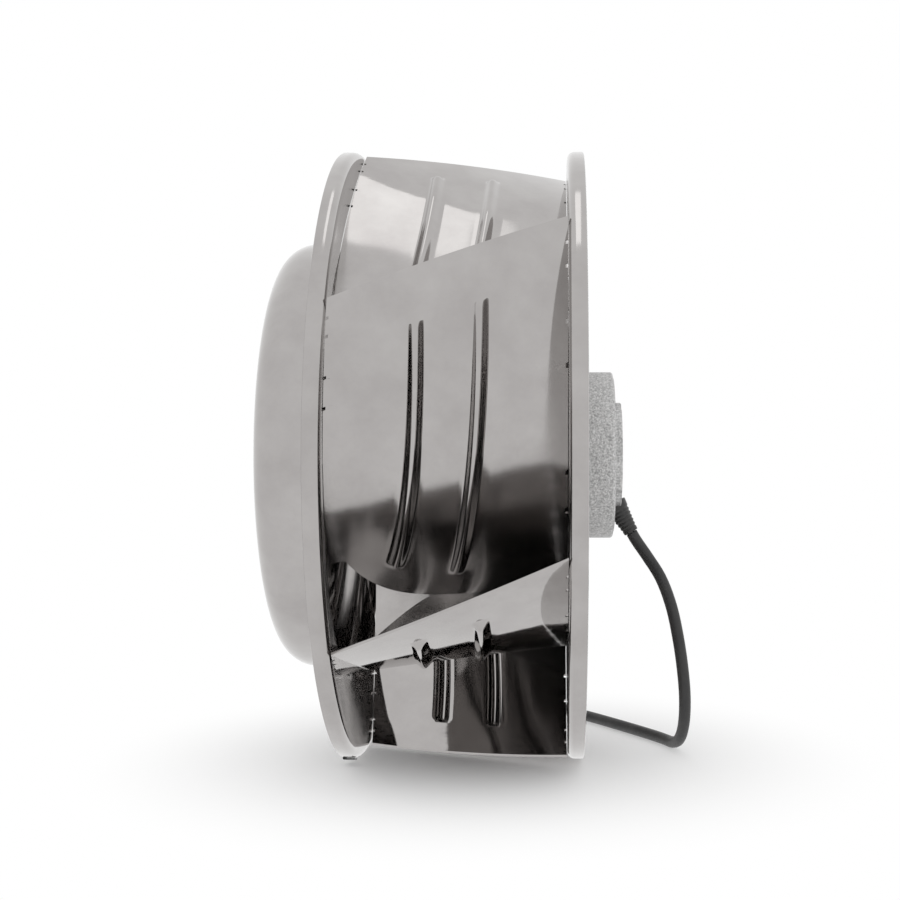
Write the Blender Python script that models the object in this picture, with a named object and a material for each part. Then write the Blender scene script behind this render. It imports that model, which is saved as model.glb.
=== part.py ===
"""Plug fan: a backward-curved centrifugal impeller on an external-rotor motor, with its supply cable.

The origin is the centre of the motor's mounting face. +X points out of that face, away from the
impeller, and the shaft lies along X. +Z is up. Lengths are in metres.
"""
import math

import bmesh
import bpy
from mathutils import Matrix, Vector

# Fits
SEAT_GAP = 0.0003
CUT_MARGIN = 0.0020

# Sheet-metal impeller
RIM_RADIUS = 0.1775
RIM_DEPTH = 0.0084
RIM_BEND = 0.0032
PLATE_THICKNESS = 0.002
BACK_PLATE_X = -0.0322
OUTLET_WIDTH = 0.1184
SHROUD_CONE_SLOPE = 0.14
COLLAR_RADIUS = 0.1250
COLLAR_REACH = 0.0466
THROAT_FILLET = 0.0135
EYE_ROUNDING = 0.0180

# Blades
BLADE_COUNT = 6
BLADE_THICKNESS = 0.0015
BLADE_TIP_INSET = 0.0014
BLADE_TIP_ANGLE = 33.0
BLADE_ROOT_ANGLE = 18.0
BLADE_EASE_RADIUS = 0.1120
BLADE_SHROUD_ROOT_RADIUS = 0.1130
BLADE_HUB_ROOT_RADIUS = 0.0900
BLADE_ROOT_CURVE = 4
BLADE_START_ANGLE = 43.7
BLADE_SKEW_ANGLE = 17.8
TAB_REACH = 0.0008
BEAD_WIDTH = 0.0098
BEAD_HEIGHT = 0.0032
BEAD_OFFSETS = (0.0440, 0.0757)
BEAD_DRIFT = 0.0275
BEAD_DRIFT_CURVE = 3.5
BLADE_ROWS = (0.0, 0.09, 0.15, 0.185, 0.32, 0.42, 0.52, 0.60, 0.68, 0.75, 0.81, 0.855, 0.885, 1.0)
BEAD_START_ROW = 2
BEAD_END_ROW = 12
BACK_TAB_ROWS = (1, 4, 8)
SHROUD_TAB_ROWS = (1, 4)

# Balance clip on the shroud's rim
CLIP_ANGLE = -78.0
CLIP_LENGTH = 0.0110
CLIP_WIDTH = 0.0068
CLIP_INNER_LEG = 0.0038
CLIP_WALL = 0.0008

# Rotor
ROTOR_RADIUS = 0.0580
ROTOR_WALL = 0.0040
ROTOR_LENGTH = 0.0660
ROTOR_FRONT_WALL = 0.0050
ROTOR_ROUNDING = 0.0060
ROTOR_NOSE_RADIUS = 0.0220
ROTOR_NOSE_RISE = 0.0012
SHAFT_BOSS_REACH = 0.0040
SHAFT_BOSS_FOOT = 0.0020
ROTOR_FLANGE_THICKNESS = 0.0030
ROTOR_SCREW_CIRCLE = ROTOR_RADIUS + 0.0060
ROTOR_FLANGE_RADIUS = ROTOR_SCREW_CIRCLE + 0.0070
ROTOR_SCREW_COUNT = 6
SCREW_RADIUS = 0.0020
SCREW_HEAD_RADIUS = 0.0038
SCREW_HEAD_HEIGHT = 0.0022
MAGNET_THICKNESS = 0.0050
MAGNET_LENGTH = 0.0340
AIR_GAP = 0.0007

# Shaft and bearings
SHAFT_RADIUS = 0.0050
SHAFT_CHAMFER = 0.0006
SHAFT_END_REACH = 0.0036
BEARING_RADIUS = 0.0130
BEARING_WIDTH = 0.0080
RACE_THICKNESS = 0.0022
BALL_COUNT = 6
TUBE_WALL = 0.0045
SPRING_THICKNESS = 0.0005
SPRING_WAVE = 0.0006
CIRCLIP_THICKNESS = 0.0010
CIRCLIP_RADIUS = 0.0082

# Stator
CORE_LENGTH = 0.0300
TOOTH_COUNT = 12
TOOTH_DEPTH = 0.0150
TOOTH_TIP = 0.0032
INSULATOR_THICKNESS = 0.0016
WINDING_HEIGHT = 0.0085
WINDING_ROUNDING = 0.0030
WINDING_CLEARANCE = 0.0045

# Motor housing behind the impeller
HOUSING_RADIUS = ROTOR_RADIUS - 0.0086
BACK_HOLE_RADIUS = HOUSING_RADIUS + 0.0031
HOUSING_WALL = 0.0035
HOUSING_DEPTH = 0.0224
HOUSING_CHAMFER = 0.0016
GASKET_INSET = 0.0004
FACE_RADIUS = HOUSING_RADIUS - 0.0182
FACE_STEP = 0.0051
END_WALL = 0.0079
TUBE_FLANGE_THICKNESS = 0.0025
TUBE_FLANGE_WEB = 0.0040
GASKET_THICKNESS = 0.0008
MOUNT_HOLE_COUNT = 4
MOUNT_CIRCLE = FACE_RADIUS - 0.0092
MOUNT_HOLE_RADIUS = 0.0026
MOUNT_HOLE_DEPTH = 0.0090
TUBE_SCREW_COUNT = 4
TUBE_SCREW_CIRCLE = HOUSING_RADIUS - HOUSING_WALL - 0.0059
BOARD_STANDOFF = 0.0042
BOARD_RADIUS = HOUSING_RADIUS - HOUSING_WALL - 0.0029
BOARD_HOLE_RADIUS = 0.0120
BOARD_THICKNESS = 0.0016
CAPACITOR_COUNT = 2
CAPACITOR_RADIUS = 0.0040
CAPACITOR_HEIGHT = 0.0060

# Cable
CABLE_RADIUS = 0.00345
FLOOR_Z = -RIM_RADIUS
GLAND_SEAT = Vector((-0.0040, 0.0, 0.0027 - FACE_RADIUS))
GLAND_DIRECTION = Vector((0.51, 0.0, -0.86)).normalized()
GLAND_BASE_RADIUS = 0.0072
GLAND_TIP_RADIUS = 0.0043
GLAND_LENGTH = 0.0200
GLAND_LEAD = 0.0060
COIL_CENTRE = Vector((-0.100, 0.142))
COIL_RADIUS = 0.0380
COIL_ENTRY_ANGLE = 33.0
COIL_EXIT_ANGLE = 90.0
COIL_LEAD = 0.0120
TAIL_LENGTH = 0.0180
FACET_SAG = 0.0007
TIE_THICKNESS = 0.0010
TIE_WIDTH = 0.0050
CORE_WIRE_RADIUS = 0.0011
CORE_NEST = 0.0013
CORE_SPREAD = 0.0026
CORE_BEND = 0.0080
CORE_LENGTH_BARED = 0.0200
CORE_COLOURS = ("brown", "blue", "earth", "grey")
FERRULE_RADIUS = 0.0014
FERRULE_LENGTH = 0.0080
FERRULE_LIFT = 0.0002

SMOOTH_ANGLE = math.radians(40)


def clear_scene():
    for item in list(bpy.data.objects):
        bpy.data.objects.remove(item, do_unlink=True)


def finish_material(name, colour, roughness, metallic):
    made = bpy.data.materials.new(name)
    made.use_nodes = True
    shader = made.node_tree.nodes["Principled BSDF"]
    shader.inputs["Base Color"].default_value = (*colour, 1.0)
    shader.inputs["Roughness"].default_value = roughness
    shader.inputs["Metallic"].default_value = metallic
    made.diffuse_color = (*colour, 1.0)
    return made


def add_empty(name):
    empty = bpy.data.objects.new(name, None)
    bpy.context.scene.collection.objects.link(empty)
    return empty


def add_object(name, data, look, parent):
    made = bpy.data.objects.new(name, data)
    if not data.materials:
        data.materials.append(look)
    made.parent = parent
    bpy.context.scene.collection.objects.link(made)
    return made


def mesh_from(name, shape):
    bmesh.ops.remove_doubles(shape, verts=shape.verts, dist=1e-7)
    bmesh.ops.recalc_face_normals(shape, faces=shape.faces)
    data = bpy.data.meshes.new(name)
    shape.to_mesh(data)
    shape.free()
    data.shade_smooth()
    data.set_sharp_from_angle(angle=SMOOTH_ANGLE)
    return data


def arc_points(centre_x, centre_r, radius, start, end, steps):
    """Points (x, r) on an arc; 0 degrees is along +x and 90 degrees is away from the axis."""
    points = []
    for step in range(steps + 1):
        angle = math.radians(start + (end - start) * step / steps)
        points.append((centre_x + radius * math.cos(angle), centre_r + radius * math.sin(angle)))
    return points


def turned_shape(outline, segments, closed=True):
    """Spin an (x, r) outline about the X axis. An open outline starts and ends on the axis."""
    shape = bmesh.new()
    verts = [shape.verts.new((x, 0.0, -r)) for x, r in outline]
    edges = [shape.edges.new(pair) for pair in zip(verts, verts[1:])]
    if closed:
        edges.append(shape.edges.new((verts[-1], verts[0])))
    bmesh.ops.spin(shape, geom=verts + edges, cent=(0, 0, 0), axis=(1, 0, 0),
                   angle=math.tau, steps=segments, use_merge=True)
    return shape


def turned_piece(name, outline, segments, look, parent, closed=True):
    return add_object(name, mesh_from(name, turned_shape(outline, segments, closed)), look, parent)


def ring_outline(x_from, x_to, inner, outer):
    return [(x_from, inner), (x_from, outer), (x_to, outer), (x_to, inner)]


def shell_outline(path, thickness):
    """A closed outline of even thickness round a centre line of (x, r) points."""
    left, right = [], []
    for index, (x, r) in enumerate(path):
        before = path[max(index - 1, 0)]
        after = path[min(index + 1, len(path) - 1)]
        along = Vector((after[0] - before[0], after[1] - before[1])).normalized()
        side = Vector((-along.y, along.x)) * (thickness / 2)
        left.append((x + side.x, r + side.y))
        right.append((x - side.x, r - side.y))
    return left + right[::-1]


def add_cutter(name, shape):
    cutter = bpy.data.objects.new(name, mesh_from(name, shape))
    cutter.hide_render = True
    cutter.display_type = "WIRE"
    bpy.context.scene.collection.objects.link(cutter)
    return cutter


def cut_away(piece, cutter):
    cut = piece.modifiers.new("cut_" + cutter.name, "BOOLEAN")
    cut.operation = "DIFFERENCE"
    cut.solver = "EXACT"
    cut.object = cutter


def add_cylinder(shape, start, direction, length, radius, segments, end_radius=None):
    """Add a closed cylinder or cone to a shape, from its start point along a direction."""
    turn = direction.to_track_quat("Z", "Y").to_matrix().to_4x4()
    centre = start + direction * (length / 2)
    bmesh.ops.create_cone(shape, cap_ends=True, segments=segments, radius1=radius,
                          radius2=radius if end_radius is None else end_radius, depth=length,
                          matrix=Matrix.Translation(centre) @ turn)


def shroud_inner_x(radius):
    """The shroud's face towards the blades: a shallow cone that leans to the inlet."""
    return BACK_PLATE_X - OUTLET_WIDTH - SHROUD_CONE_SLOPE * (blade_tip_radius() - radius)


def blade_tip_radius():
    return RIM_RADIUS - BLADE_TIP_INSET


def back_plate_outline():
    face_x = BACK_PLATE_X + PLATE_THICKNESS / 2
    centre_radius = RIM_RADIUS - PLATE_THICKNESS / 2
    bend_x = face_x + RIM_BEND
    path = [(face_x, BACK_HOLE_RADIUS), (face_x, ROTOR_FLANGE_RADIUS)]
    path += arc_points(bend_x, centre_radius - RIM_BEND, RIM_BEND, 180, 90, 2)
    path.append((BACK_PLATE_X + RIM_DEPTH, centre_radius))
    return shell_outline(path, PLATE_THICKNESS)


def shroud_rim_edge_x():
    """Free edge of the shroud's rolled rim, on the inlet side."""
    return BACK_PLATE_X - OUTLET_WIDTH - RIM_DEPTH


def shroud_outline():
    centre_radius = RIM_RADIUS - PLATE_THICKNESS / 2
    lean = math.atan(SHROUD_CONE_SLOPE)
    skin = PLATE_THICKNESS / 2 / math.cos(lean)
    rim_x = shroud_inner_x(centre_radius - RIM_BEND) - skin
    path = [(shroud_rim_edge_x(), centre_radius)]
    path += arc_points(rim_x - RIM_BEND, centre_radius - RIM_BEND, RIM_BEND, 90, 0, 2)
    collar_radius = COLLAR_RADIUS - PLATE_THICKNESS / 2
    fillet_centre_r = collar_radius + THROAT_FILLET
    fillet_centre_x = shroud_inner_x(fillet_centre_r) - skin - THROAT_FILLET / math.cos(lean)
    path += arc_points(fillet_centre_x, fillet_centre_r, THROAT_FILLET, -math.degrees(lean), -90, 4)
    mouth_x = BACK_PLATE_X - OUTLET_WIDTH - COLLAR_REACH + PLATE_THICKNESS / 2
    path += arc_points(mouth_x + EYE_ROUNDING, collar_radius - EYE_ROUNDING, EYE_ROUNDING, 90, 180, 4)
    return shell_outline(path, PLATE_THICKNESS)


def blade_slope(radius):
    """Tangent of the angle between the blade and the circle round the shaft at a radius.

    It falls evenly with the radius as far as the ease radius, and stays the same inside that.
    """
    tip, root = math.tan(math.radians(BLADE_TIP_ANGLE)), math.tan(math.radians(BLADE_ROOT_ANGLE))
    share = (radius - BLADE_EASE_RADIUS) / (blade_tip_radius() - BLADE_EASE_RADIUS)
    return root + (tip - root) * max(share, 0.0)


def blade_sweep(radius):
    """How far the blade has turned about the shaft, in radians, between its tip and a radius."""
    tip_radius, ease = blade_tip_radius(), BLADE_EASE_RADIUS
    tip, root = blade_slope(tip_radius), blade_slope(ease)
    base = root - (tip - root) * ease / (tip_radius - ease)
    outer = max(radius, ease)
    turned = math.log(tip_radius * blade_slope(outer) / (outer * tip)) / base
    if radius < ease:
        turned += math.log(ease / radius) / root
    return turned


def blade_frame(x, radius):
    """Middle point of the blade and its outward normal at one place."""
    share = (BACK_PLATE_X - x) / OUTLET_WIDTH
    turn = math.radians(BLADE_START_ANGLE - BLADE_SKEW_ANGLE * share) - blade_sweep(radius)
    away = Vector((0.0, -math.cos(turn), math.sin(turn)))
    around = Vector((0.0, math.sin(turn), math.cos(turn)))
    slope = math.atan(blade_slope(radius))
    normal = away * math.cos(slope) - around * math.sin(slope)
    return Vector((x, 0.0, 0.0)) + away * radius, normal


def blade_radius(x, row_share):
    share = min((BACK_PLATE_X - x) / OUTLET_WIDTH, 1.0) ** BLADE_ROOT_CURVE
    root = BLADE_HUB_ROOT_RADIUS + (BLADE_SHROUD_ROOT_RADIUS - BLADE_HUB_ROOT_RADIUS) * share
    return blade_tip_radius() + (root - blade_tip_radius()) * row_share


def blade_columns(row_share):
    """Places across the blade at one row, each with the share of the bead's height there."""
    back_x = BACK_PLATE_X - SEAT_GAP
    columns = [(back_x, 0.0)]
    for offset in BEAD_OFFSETS:
        centre = BACK_PLATE_X - offset - BEAD_DRIFT * row_share ** BEAD_DRIFT_CURVE
        for side, height in ((0.5, 0.0), (0.2, 1.0), (-0.2, 1.0), (-0.5, 0.0)):
            columns.append((centre + side * BEAD_WIDTH, height))
    edge = shroud_inner_x(blade_radius(BACK_PLATE_X - OUTLET_WIDTH, row_share)) + SEAT_GAP
    columns.append(((columns[-1][0] + edge) / 2, 0.0))
    columns.append((edge, 0.0))
    return columns


def close_edge(shape, outer, inner, tab_rows, reach):
    """Close a long edge of a blade, with a tab standing out of it at each tab row."""
    for row in range(len(outer) - 1):
        base = [outer[row], outer[row + 1], inner[row + 1], inner[row]]
        if row not in tab_rows:
            shape.faces.new(base)
            continue
        crown = [shape.verts.new(vert.co + Vector((reach, 0.0, 0.0))) for vert in base]
        shape.faces.new(crown)
        for corner in range(4):
            after = (corner + 1) % 4
            shape.faces.new((base[corner], base[after], crown[after], crown[corner]))


def blade_mesh():
    shape = bmesh.new()
    outer, inner = [], []
    for row, row_share in enumerate(BLADE_ROWS):
        pressed = BEAD_START_ROW < row < BEAD_END_ROW
        outer_row, inner_row = [], []
        for x, height in blade_columns(row_share):
            middle, normal = blade_frame(x, blade_radius(x, row_share))
            lift = BEAD_HEIGHT * height if pressed else 0.0
            outer_row.append(shape.verts.new(middle + normal * (lift + BLADE_THICKNESS / 2)))
            inner_row.append(shape.verts.new(middle + normal * (lift - BLADE_THICKNESS / 2)))
        outer.append(outer_row)
        inner.append(inner_row)
    for side in (outer, inner):
        for row, after in zip(side, side[1:]):
            for column in range(len(row) - 1):
                shape.faces.new((row[column], row[column + 1], after[column + 1], after[column]))
    for row in (0, -1):
        for column in range(len(outer[row]) - 1):
            shape.faces.new((outer[row][column], outer[row][column + 1],
                             inner[row][column + 1], inner[row][column]))
    through = PLATE_THICKNESS + SEAT_GAP + TAB_REACH
    close_edge(shape, [row[0] for row in outer], [row[0] for row in inner], BACK_TAB_ROWS, through)
    close_edge(shape, [row[-1] for row in outer], [row[-1] for row in inner], SHROUD_TAB_ROWS, -through)
    return mesh_from("blade", shape)


def slot_cutters(name, tab_rows, edge_x, x_low, x_high):
    """Prisms for the slots that the blades' tabs pass through, for every blade."""
    shape = bmesh.new()
    half = BLADE_THICKNESS / 2 + SEAT_GAP
    for blade in range(BLADE_COUNT):
        turn = Matrix.Rotation(math.tau * blade / BLADE_COUNT, 3, "X")
        for row in tab_rows:
            ends = []
            for row_share in (BLADE_ROWS[row], BLADE_ROWS[row + 1]):
                x = edge_x(row_share)
                ends.append(blade_frame(x, blade_radius(x, row_share)))
            (first, first_normal), (last, last_normal) = ends
            along = (last - first).normalized() * SEAT_GAP
            first, last = first - along, last + along
            quad = [first + first_normal * half, last + last_normal * half,
                    last - last_normal * half, first - first_normal * half]
            rings = []
            for x in (x_low, x_high):
                rings.append([shape.verts.new(turn @ Vector((x, p.y, p.z))) for p in quad])
            shape.faces.new(rings[0])
            shape.faces.new(rings[1])
            join_rings(shape, rings)
    return add_cutter(name, shape)


def circle_place(index, count, circle, x):
    angle = math.tau * index / count + math.pi / count
    return Vector((x, circle * math.sin(angle), circle * math.cos(angle)))


def screw_mesh(length):
    """A pan-head screw along X, with its head's underside at the origin."""
    outline = ((-length, SCREW_RADIUS), (0.0, SCREW_RADIUS), (0.0, SCREW_HEAD_RADIUS),
               (SCREW_HEAD_HEIGHT * 0.6, SCREW_HEAD_RADIUS), (SCREW_HEAD_HEIGHT, SCREW_HEAD_RADIUS * 0.6))
    shape = bmesh.new()
    rings = []
    for x, radius in outline:
        ring = []
        for side in range(8):
            around = math.tau * side / 8
            ring.append(shape.verts.new((x, radius * math.cos(around), radius * math.sin(around))))
        rings.append(ring)
    shape.faces.new(rings[0])
    shape.faces.new(rings[-1])
    join_rings(shape, rings)
    return mesh_from("screw", shape)


def join_rings(shape, rings, closed=False):
    """Faces between neighbouring rings of points, and back to the first ring where it is closed."""
    following = rings[1:] + (rings[:1] if closed else [])
    for ring, after in zip(rings, following):
        for corner in range(len(ring)):
            beyond = (corner + 1) % len(ring)
            shape.faces.new((ring[corner], ring[beyond], after[beyond], after[corner]))


def add_screws(name, count, circle, head_x, length, look, parent):
    screw = screw_mesh(length)
    for index in range(count):
        made = add_object("%s_%d" % (name, index + 1), screw, look, parent)
        made.location = circle_place(index, count, circle, head_x)


def hole_cutter(name, count, circle, x_low, x_high, radius):
    shape = bmesh.new()
    for index in range(count):
        start = circle_place(index, count, circle, x_low)
        add_cylinder(shape, start, Vector((1.0, 0.0, 0.0)), x_high - x_low, radius, 8)
    return add_cutter(name, shape)


def build_impeller(parent, looks):
    back = turned_piece("back_plate", back_plate_outline(), 60, looks["sheet"], parent)
    shroud = turned_piece("inlet_shroud", shroud_outline(), 60, looks["sheet"], parent)
    margin = 2 * PLATE_THICKNESS
    cut_away(back, slot_cutters("back_slots", BACK_TAB_ROWS, lambda share: BACK_PLATE_X,
                                BACK_PLATE_X - margin, BACK_PLATE_X + PLATE_THICKNESS + margin))
    widest = shroud_inner_x(BLADE_SHROUD_ROOT_RADIUS) - PLATE_THICKNESS - margin

    def shroud_edge(share):
        return shroud_inner_x(blade_radius(BACK_PLATE_X - OUTLET_WIDTH, share))

    cut_away(shroud, slot_cutters("shroud_slots", SHROUD_TAB_ROWS, shroud_edge, widest,
                                  BACK_PLATE_X - OUTLET_WIDTH + margin))
    cut_away(back, hole_cutter("back_holes", ROTOR_SCREW_COUNT, ROTOR_SCREW_CIRCLE,
                               BACK_PLATE_X - margin, BACK_PLATE_X + PLATE_THICKNESS + margin,
                               SCREW_RADIUS + SEAT_GAP))
    blade = blade_mesh()
    for index in range(BLADE_COUNT):
        made = add_object("blade_%d" % (index + 1), blade, looks["sheet"], parent)
        made.rotation_euler.x = math.tau * index / BLADE_COUNT
    build_balance_clip(parent, looks)


def build_balance_clip(parent, looks):
    """A folded spring clip pushed over the free edge of the shroud's rim."""
    edge_x = shroud_rim_edge_x()
    outer = RIM_RADIUS + SEAT_GAP
    inner = RIM_RADIUS - PLATE_THICKNESS - SEAT_GAP
    left = edge_x - SEAT_GAP
    right = edge_x + CLIP_WIDTH - CLIP_WALL - SEAT_GAP
    leg = left + CLIP_INNER_LEG
    profile = [(right, outer), (left, outer), (left, inner), (leg, inner), (leg, inner - CLIP_WALL),
               (left - CLIP_WALL, inner - CLIP_WALL), (left - CLIP_WALL, outer + CLIP_WALL),
               (right, outer + CLIP_WALL)]
    spread = math.degrees(CLIP_LENGTH / RIM_RADIUS)
    steps = 4
    shape = bmesh.new()
    rings = []
    for step in range(steps + 1):
        angle = math.radians(CLIP_ANGLE - spread / 2 + spread * step / steps)
        rings.append([shape.verts.new((x, -r * math.cos(angle), r * math.sin(angle))) for x, r in profile])
    join_rings(shape, rings)
    shape.faces.new(rings[0])
    shape.faces.new(rings[-1])
    add_object("balance_clip", mesh_from("balance_clip", shape), looks["spring_black"], parent)


def rotor_back_x():
    return BACK_PLATE_X - SEAT_GAP


def rotor_front_inner_x():
    return rotor_back_x() - ROTOR_LENGTH + ROTOR_FRONT_WALL


def build_rotor(parent, looks):
    back = rotor_back_x()
    front = back - ROTOR_LENGTH
    inner_front = rotor_front_inner_x()
    inner = ROTOR_RADIUS - ROTOR_WALL
    rounding = ROTOR_ROUNDING
    boss_radius = SHAFT_RADIUS + RACE_THICKNESS
    boss_end = inner_front + SHAFT_BOSS_REACH
    outline = [(boss_end, SHAFT_RADIUS + SEAT_GAP), (boss_end, boss_radius),
               (inner_front, boss_radius + SHAFT_BOSS_FOOT), (inner_front, inner),
               (back, inner), (back, ROTOR_FLANGE_RADIUS),
               (back - ROTOR_FLANGE_THICKNESS, ROTOR_FLANGE_RADIUS),
               (back - ROTOR_FLANGE_THICKNESS, ROTOR_RADIUS)]
    outline += arc_points(front + rounding, ROTOR_RADIUS - rounding, rounding, 90, 180, 3)
    nose = front - ROTOR_NOSE_RISE
    outline += [(front, ROTOR_NOSE_RADIUS), (nose, ROTOR_NOSE_RADIUS - 2 * ROTOR_NOSE_RISE),
                (nose, SHAFT_RADIUS + SEAT_GAP)]
    cup = turned_piece("rotor_cup", outline, 30, looks["rotor_black"], parent)
    cut_away(cup, hole_cutter("flange_holes", ROTOR_SCREW_COUNT, ROTOR_SCREW_CIRCLE,
                              back - ROTOR_FLANGE_THICKNESS - CUT_MARGIN, back + CUT_MARGIN,
                              SCREW_RADIUS + SEAT_GAP))
    add_screws("rotor_screw", ROTOR_SCREW_COUNT, ROTOR_SCREW_CIRCLE,
               BACK_PLATE_X + PLATE_THICKNESS + SEAT_GAP,
               PLATE_THICKNESS + ROTOR_FLANGE_THICKNESS + 3 * SEAT_GAP, looks["zinc"], parent)
    middle = core_middle_x()
    magnet_outer = inner - SEAT_GAP
    turned_piece("rotor_magnets", ring_outline(middle - MAGNET_LENGTH / 2, middle + MAGNET_LENGTH / 2,
                                               magnet_outer - MAGNET_THICKNESS, magnet_outer),
                 30, looks["magnet"], parent)
    tip = SHAFT_CHAMFER
    shaft_start = front
    shaft_end = tube_flange_x() + SHAFT_END_REACH
    turned_piece("motor_shaft", [(shaft_start, 0.0), (shaft_start, SHAFT_RADIUS - tip),
                                 (shaft_start + tip, SHAFT_RADIUS), (shaft_end - tip, SHAFT_RADIUS),
                                 (shaft_end, SHAFT_RADIUS - tip), (shaft_end, 0.0)],
                 16, looks["ground_steel"], parent, closed=False)
    build_circlip(parent, looks)


def tube_flange_x():
    """Face of the bearing tube's flange that meets the gasket."""
    return -FACE_STEP - HOUSING_DEPTH - 2 * SEAT_GAP - GASKET_THICKNESS


def rear_bearing_x():
    """Lower x of the rear bearing, flush with the flange of its tube."""
    return tube_flange_x() - BEARING_WIDTH


def front_bearing_x():
    """Lower x of the front bearing, which rests against the boss in the rotor cup."""
    return rotor_front_inner_x() + SHAFT_BOSS_REACH + SEAT_GAP


def core_radius():
    return ROTOR_RADIUS - ROTOR_WALL - SEAT_GAP - MAGNET_THICKNESS - AIR_GAP


def tube_radius():
    return BEARING_RADIUS + SEAT_GAP + TUBE_WALL


def core_middle_x():
    front_end = front_bearing_x()
    back_end = tube_flange_x() - TUBE_FLANGE_THICKNESS
    return (front_end + back_end) / 2


def build_circlip(parent, looks):
    """An open ring in front of the rear bearing's outer side, which keeps the shaft in place."""
    start = rear_bearing_x() + BEARING_WIDTH + SEAT_GAP
    shape = bmesh.new()
    opening = math.radians(40)
    steps = 10
    rings = []
    for step in range(steps + 1):
        angle = opening / 2 + (math.tau - opening) * step / steps
        ring = []
        for x, r in ring_outline(start, start + CIRCLIP_THICKNESS, SHAFT_RADIUS + SEAT_GAP, CIRCLIP_RADIUS):
            ring.append(shape.verts.new((x, r * math.sin(angle), r * math.cos(angle))))
        rings.append(ring)
    join_rings(shape, rings)
    shape.faces.new(rings[0])
    shape.faces.new(rings[-1])
    add_object("shaft_circlip", mesh_from("shaft_circlip", shape), looks["spring_steel"], parent)


def build_bearing(name, start, fixed, turning, looks):
    end = start + BEARING_WIDTH
    outer_in = BEARING_RADIUS - RACE_THICKNESS
    inner_out = SHAFT_RADIUS + SEAT_GAP + RACE_THICKNESS
    turned_piece(name + "_outer_race", ring_outline(start, end, outer_in, BEARING_RADIUS), 18,
                 looks["ground_steel"], fixed)
    turned_piece(name + "_inner_race", ring_outline(start, end, SHAFT_RADIUS + SEAT_GAP, inner_out), 18,
                 looks["ground_steel"], turning)
    ball_radius = (outer_in - inner_out) / 2 - SEAT_GAP
    pitch = (outer_in + inner_out) / 2
    shape = bmesh.new()
    rings = []
    for step in range(3 * BALL_COUNT):
        angle = math.tau * step / (3 * BALL_COUNT)
        section = ball_radius * (1.0, 0.5, 0.5)[step % 3]
        ring = []
        for side in range(5):
            around = math.tau * side / 5
            radius = pitch + section * math.cos(around)
            ring.append(shape.verts.new(((start + end) / 2 + section * math.sin(around),
                                         radius * math.sin(angle), radius * math.cos(angle))))
        rings.append(ring)
    join_rings(shape, rings, closed=True)
    add_object(name + "_ball_cage", mesh_from(name + "_ball_cage", shape), looks["ground_steel"], fixed)


def build_wave_spring(parent, looks):
    """Preload washer between the rear bearing and the shoulder in the tube."""
    seat = rear_bearing_x() - SEAT_GAP - SPRING_THICKNESS - SPRING_WAVE
    inner = BEARING_RADIUS - RACE_THICKNESS
    outer = BEARING_RADIUS - SEAT_GAP
    steps = 18
    shape = bmesh.new()
    rings = []
    for step in range(steps):
        angle = math.tau * step / steps
        x = seat + SPRING_WAVE / 2 * (1 + math.sin(3 * angle))
        ring = []
        for along, r in ring_outline(x, x + SPRING_THICKNESS, inner, outer):
            ring.append(shape.verts.new((along, r * math.sin(angle), r * math.cos(angle))))
        rings.append(ring)
    join_rings(shape, rings, closed=True)
    add_object("wave_spring", mesh_from("wave_spring", shape), looks["spring_steel"], parent)


def build_bearing_tube(parent, looks):
    """The tube holds both bearings and the stator core; its flange closes the housing."""
    face = tube_flange_x()
    back = face - TUBE_FLANGE_THICKNESS
    front = front_bearing_x()
    bore = BEARING_RADIUS + SEAT_GAP
    waist = BEARING_RADIUS - RACE_THICKNESS
    spring_room = 2 * SEAT_GAP + SPRING_THICKNESS + SPRING_WAVE
    shoulder_rear = rear_bearing_x() - spring_room
    shoulder_front = front + BEARING_WIDTH + SEAT_GAP
    flange_radius = HOUSING_RADIUS - SEAT_GAP
    rest = face + BOARD_STANDOFF - SEAT_GAP
    web = TUBE_FLANGE_WEB
    outline = [(front, bore), (front, tube_radius()), (back - web, tube_radius()),
               (back, tube_radius() + web), (back, flange_radius), (face, flange_radius),
               (face, tube_radius()), (rest, tube_radius()), (rest, bore),
               (shoulder_rear, bore), (shoulder_rear, waist), (shoulder_front, waist),
               (shoulder_front, bore)]
    tube = turned_piece("bearing_tube", outline, 24, looks["cast"], parent)
    cut_away(tube, hole_cutter("tube_holes", TUBE_SCREW_COUNT, TUBE_SCREW_CIRCLE, back - CUT_MARGIN,
                               face + CUT_MARGIN, SCREW_RADIUS + SEAT_GAP))


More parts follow.
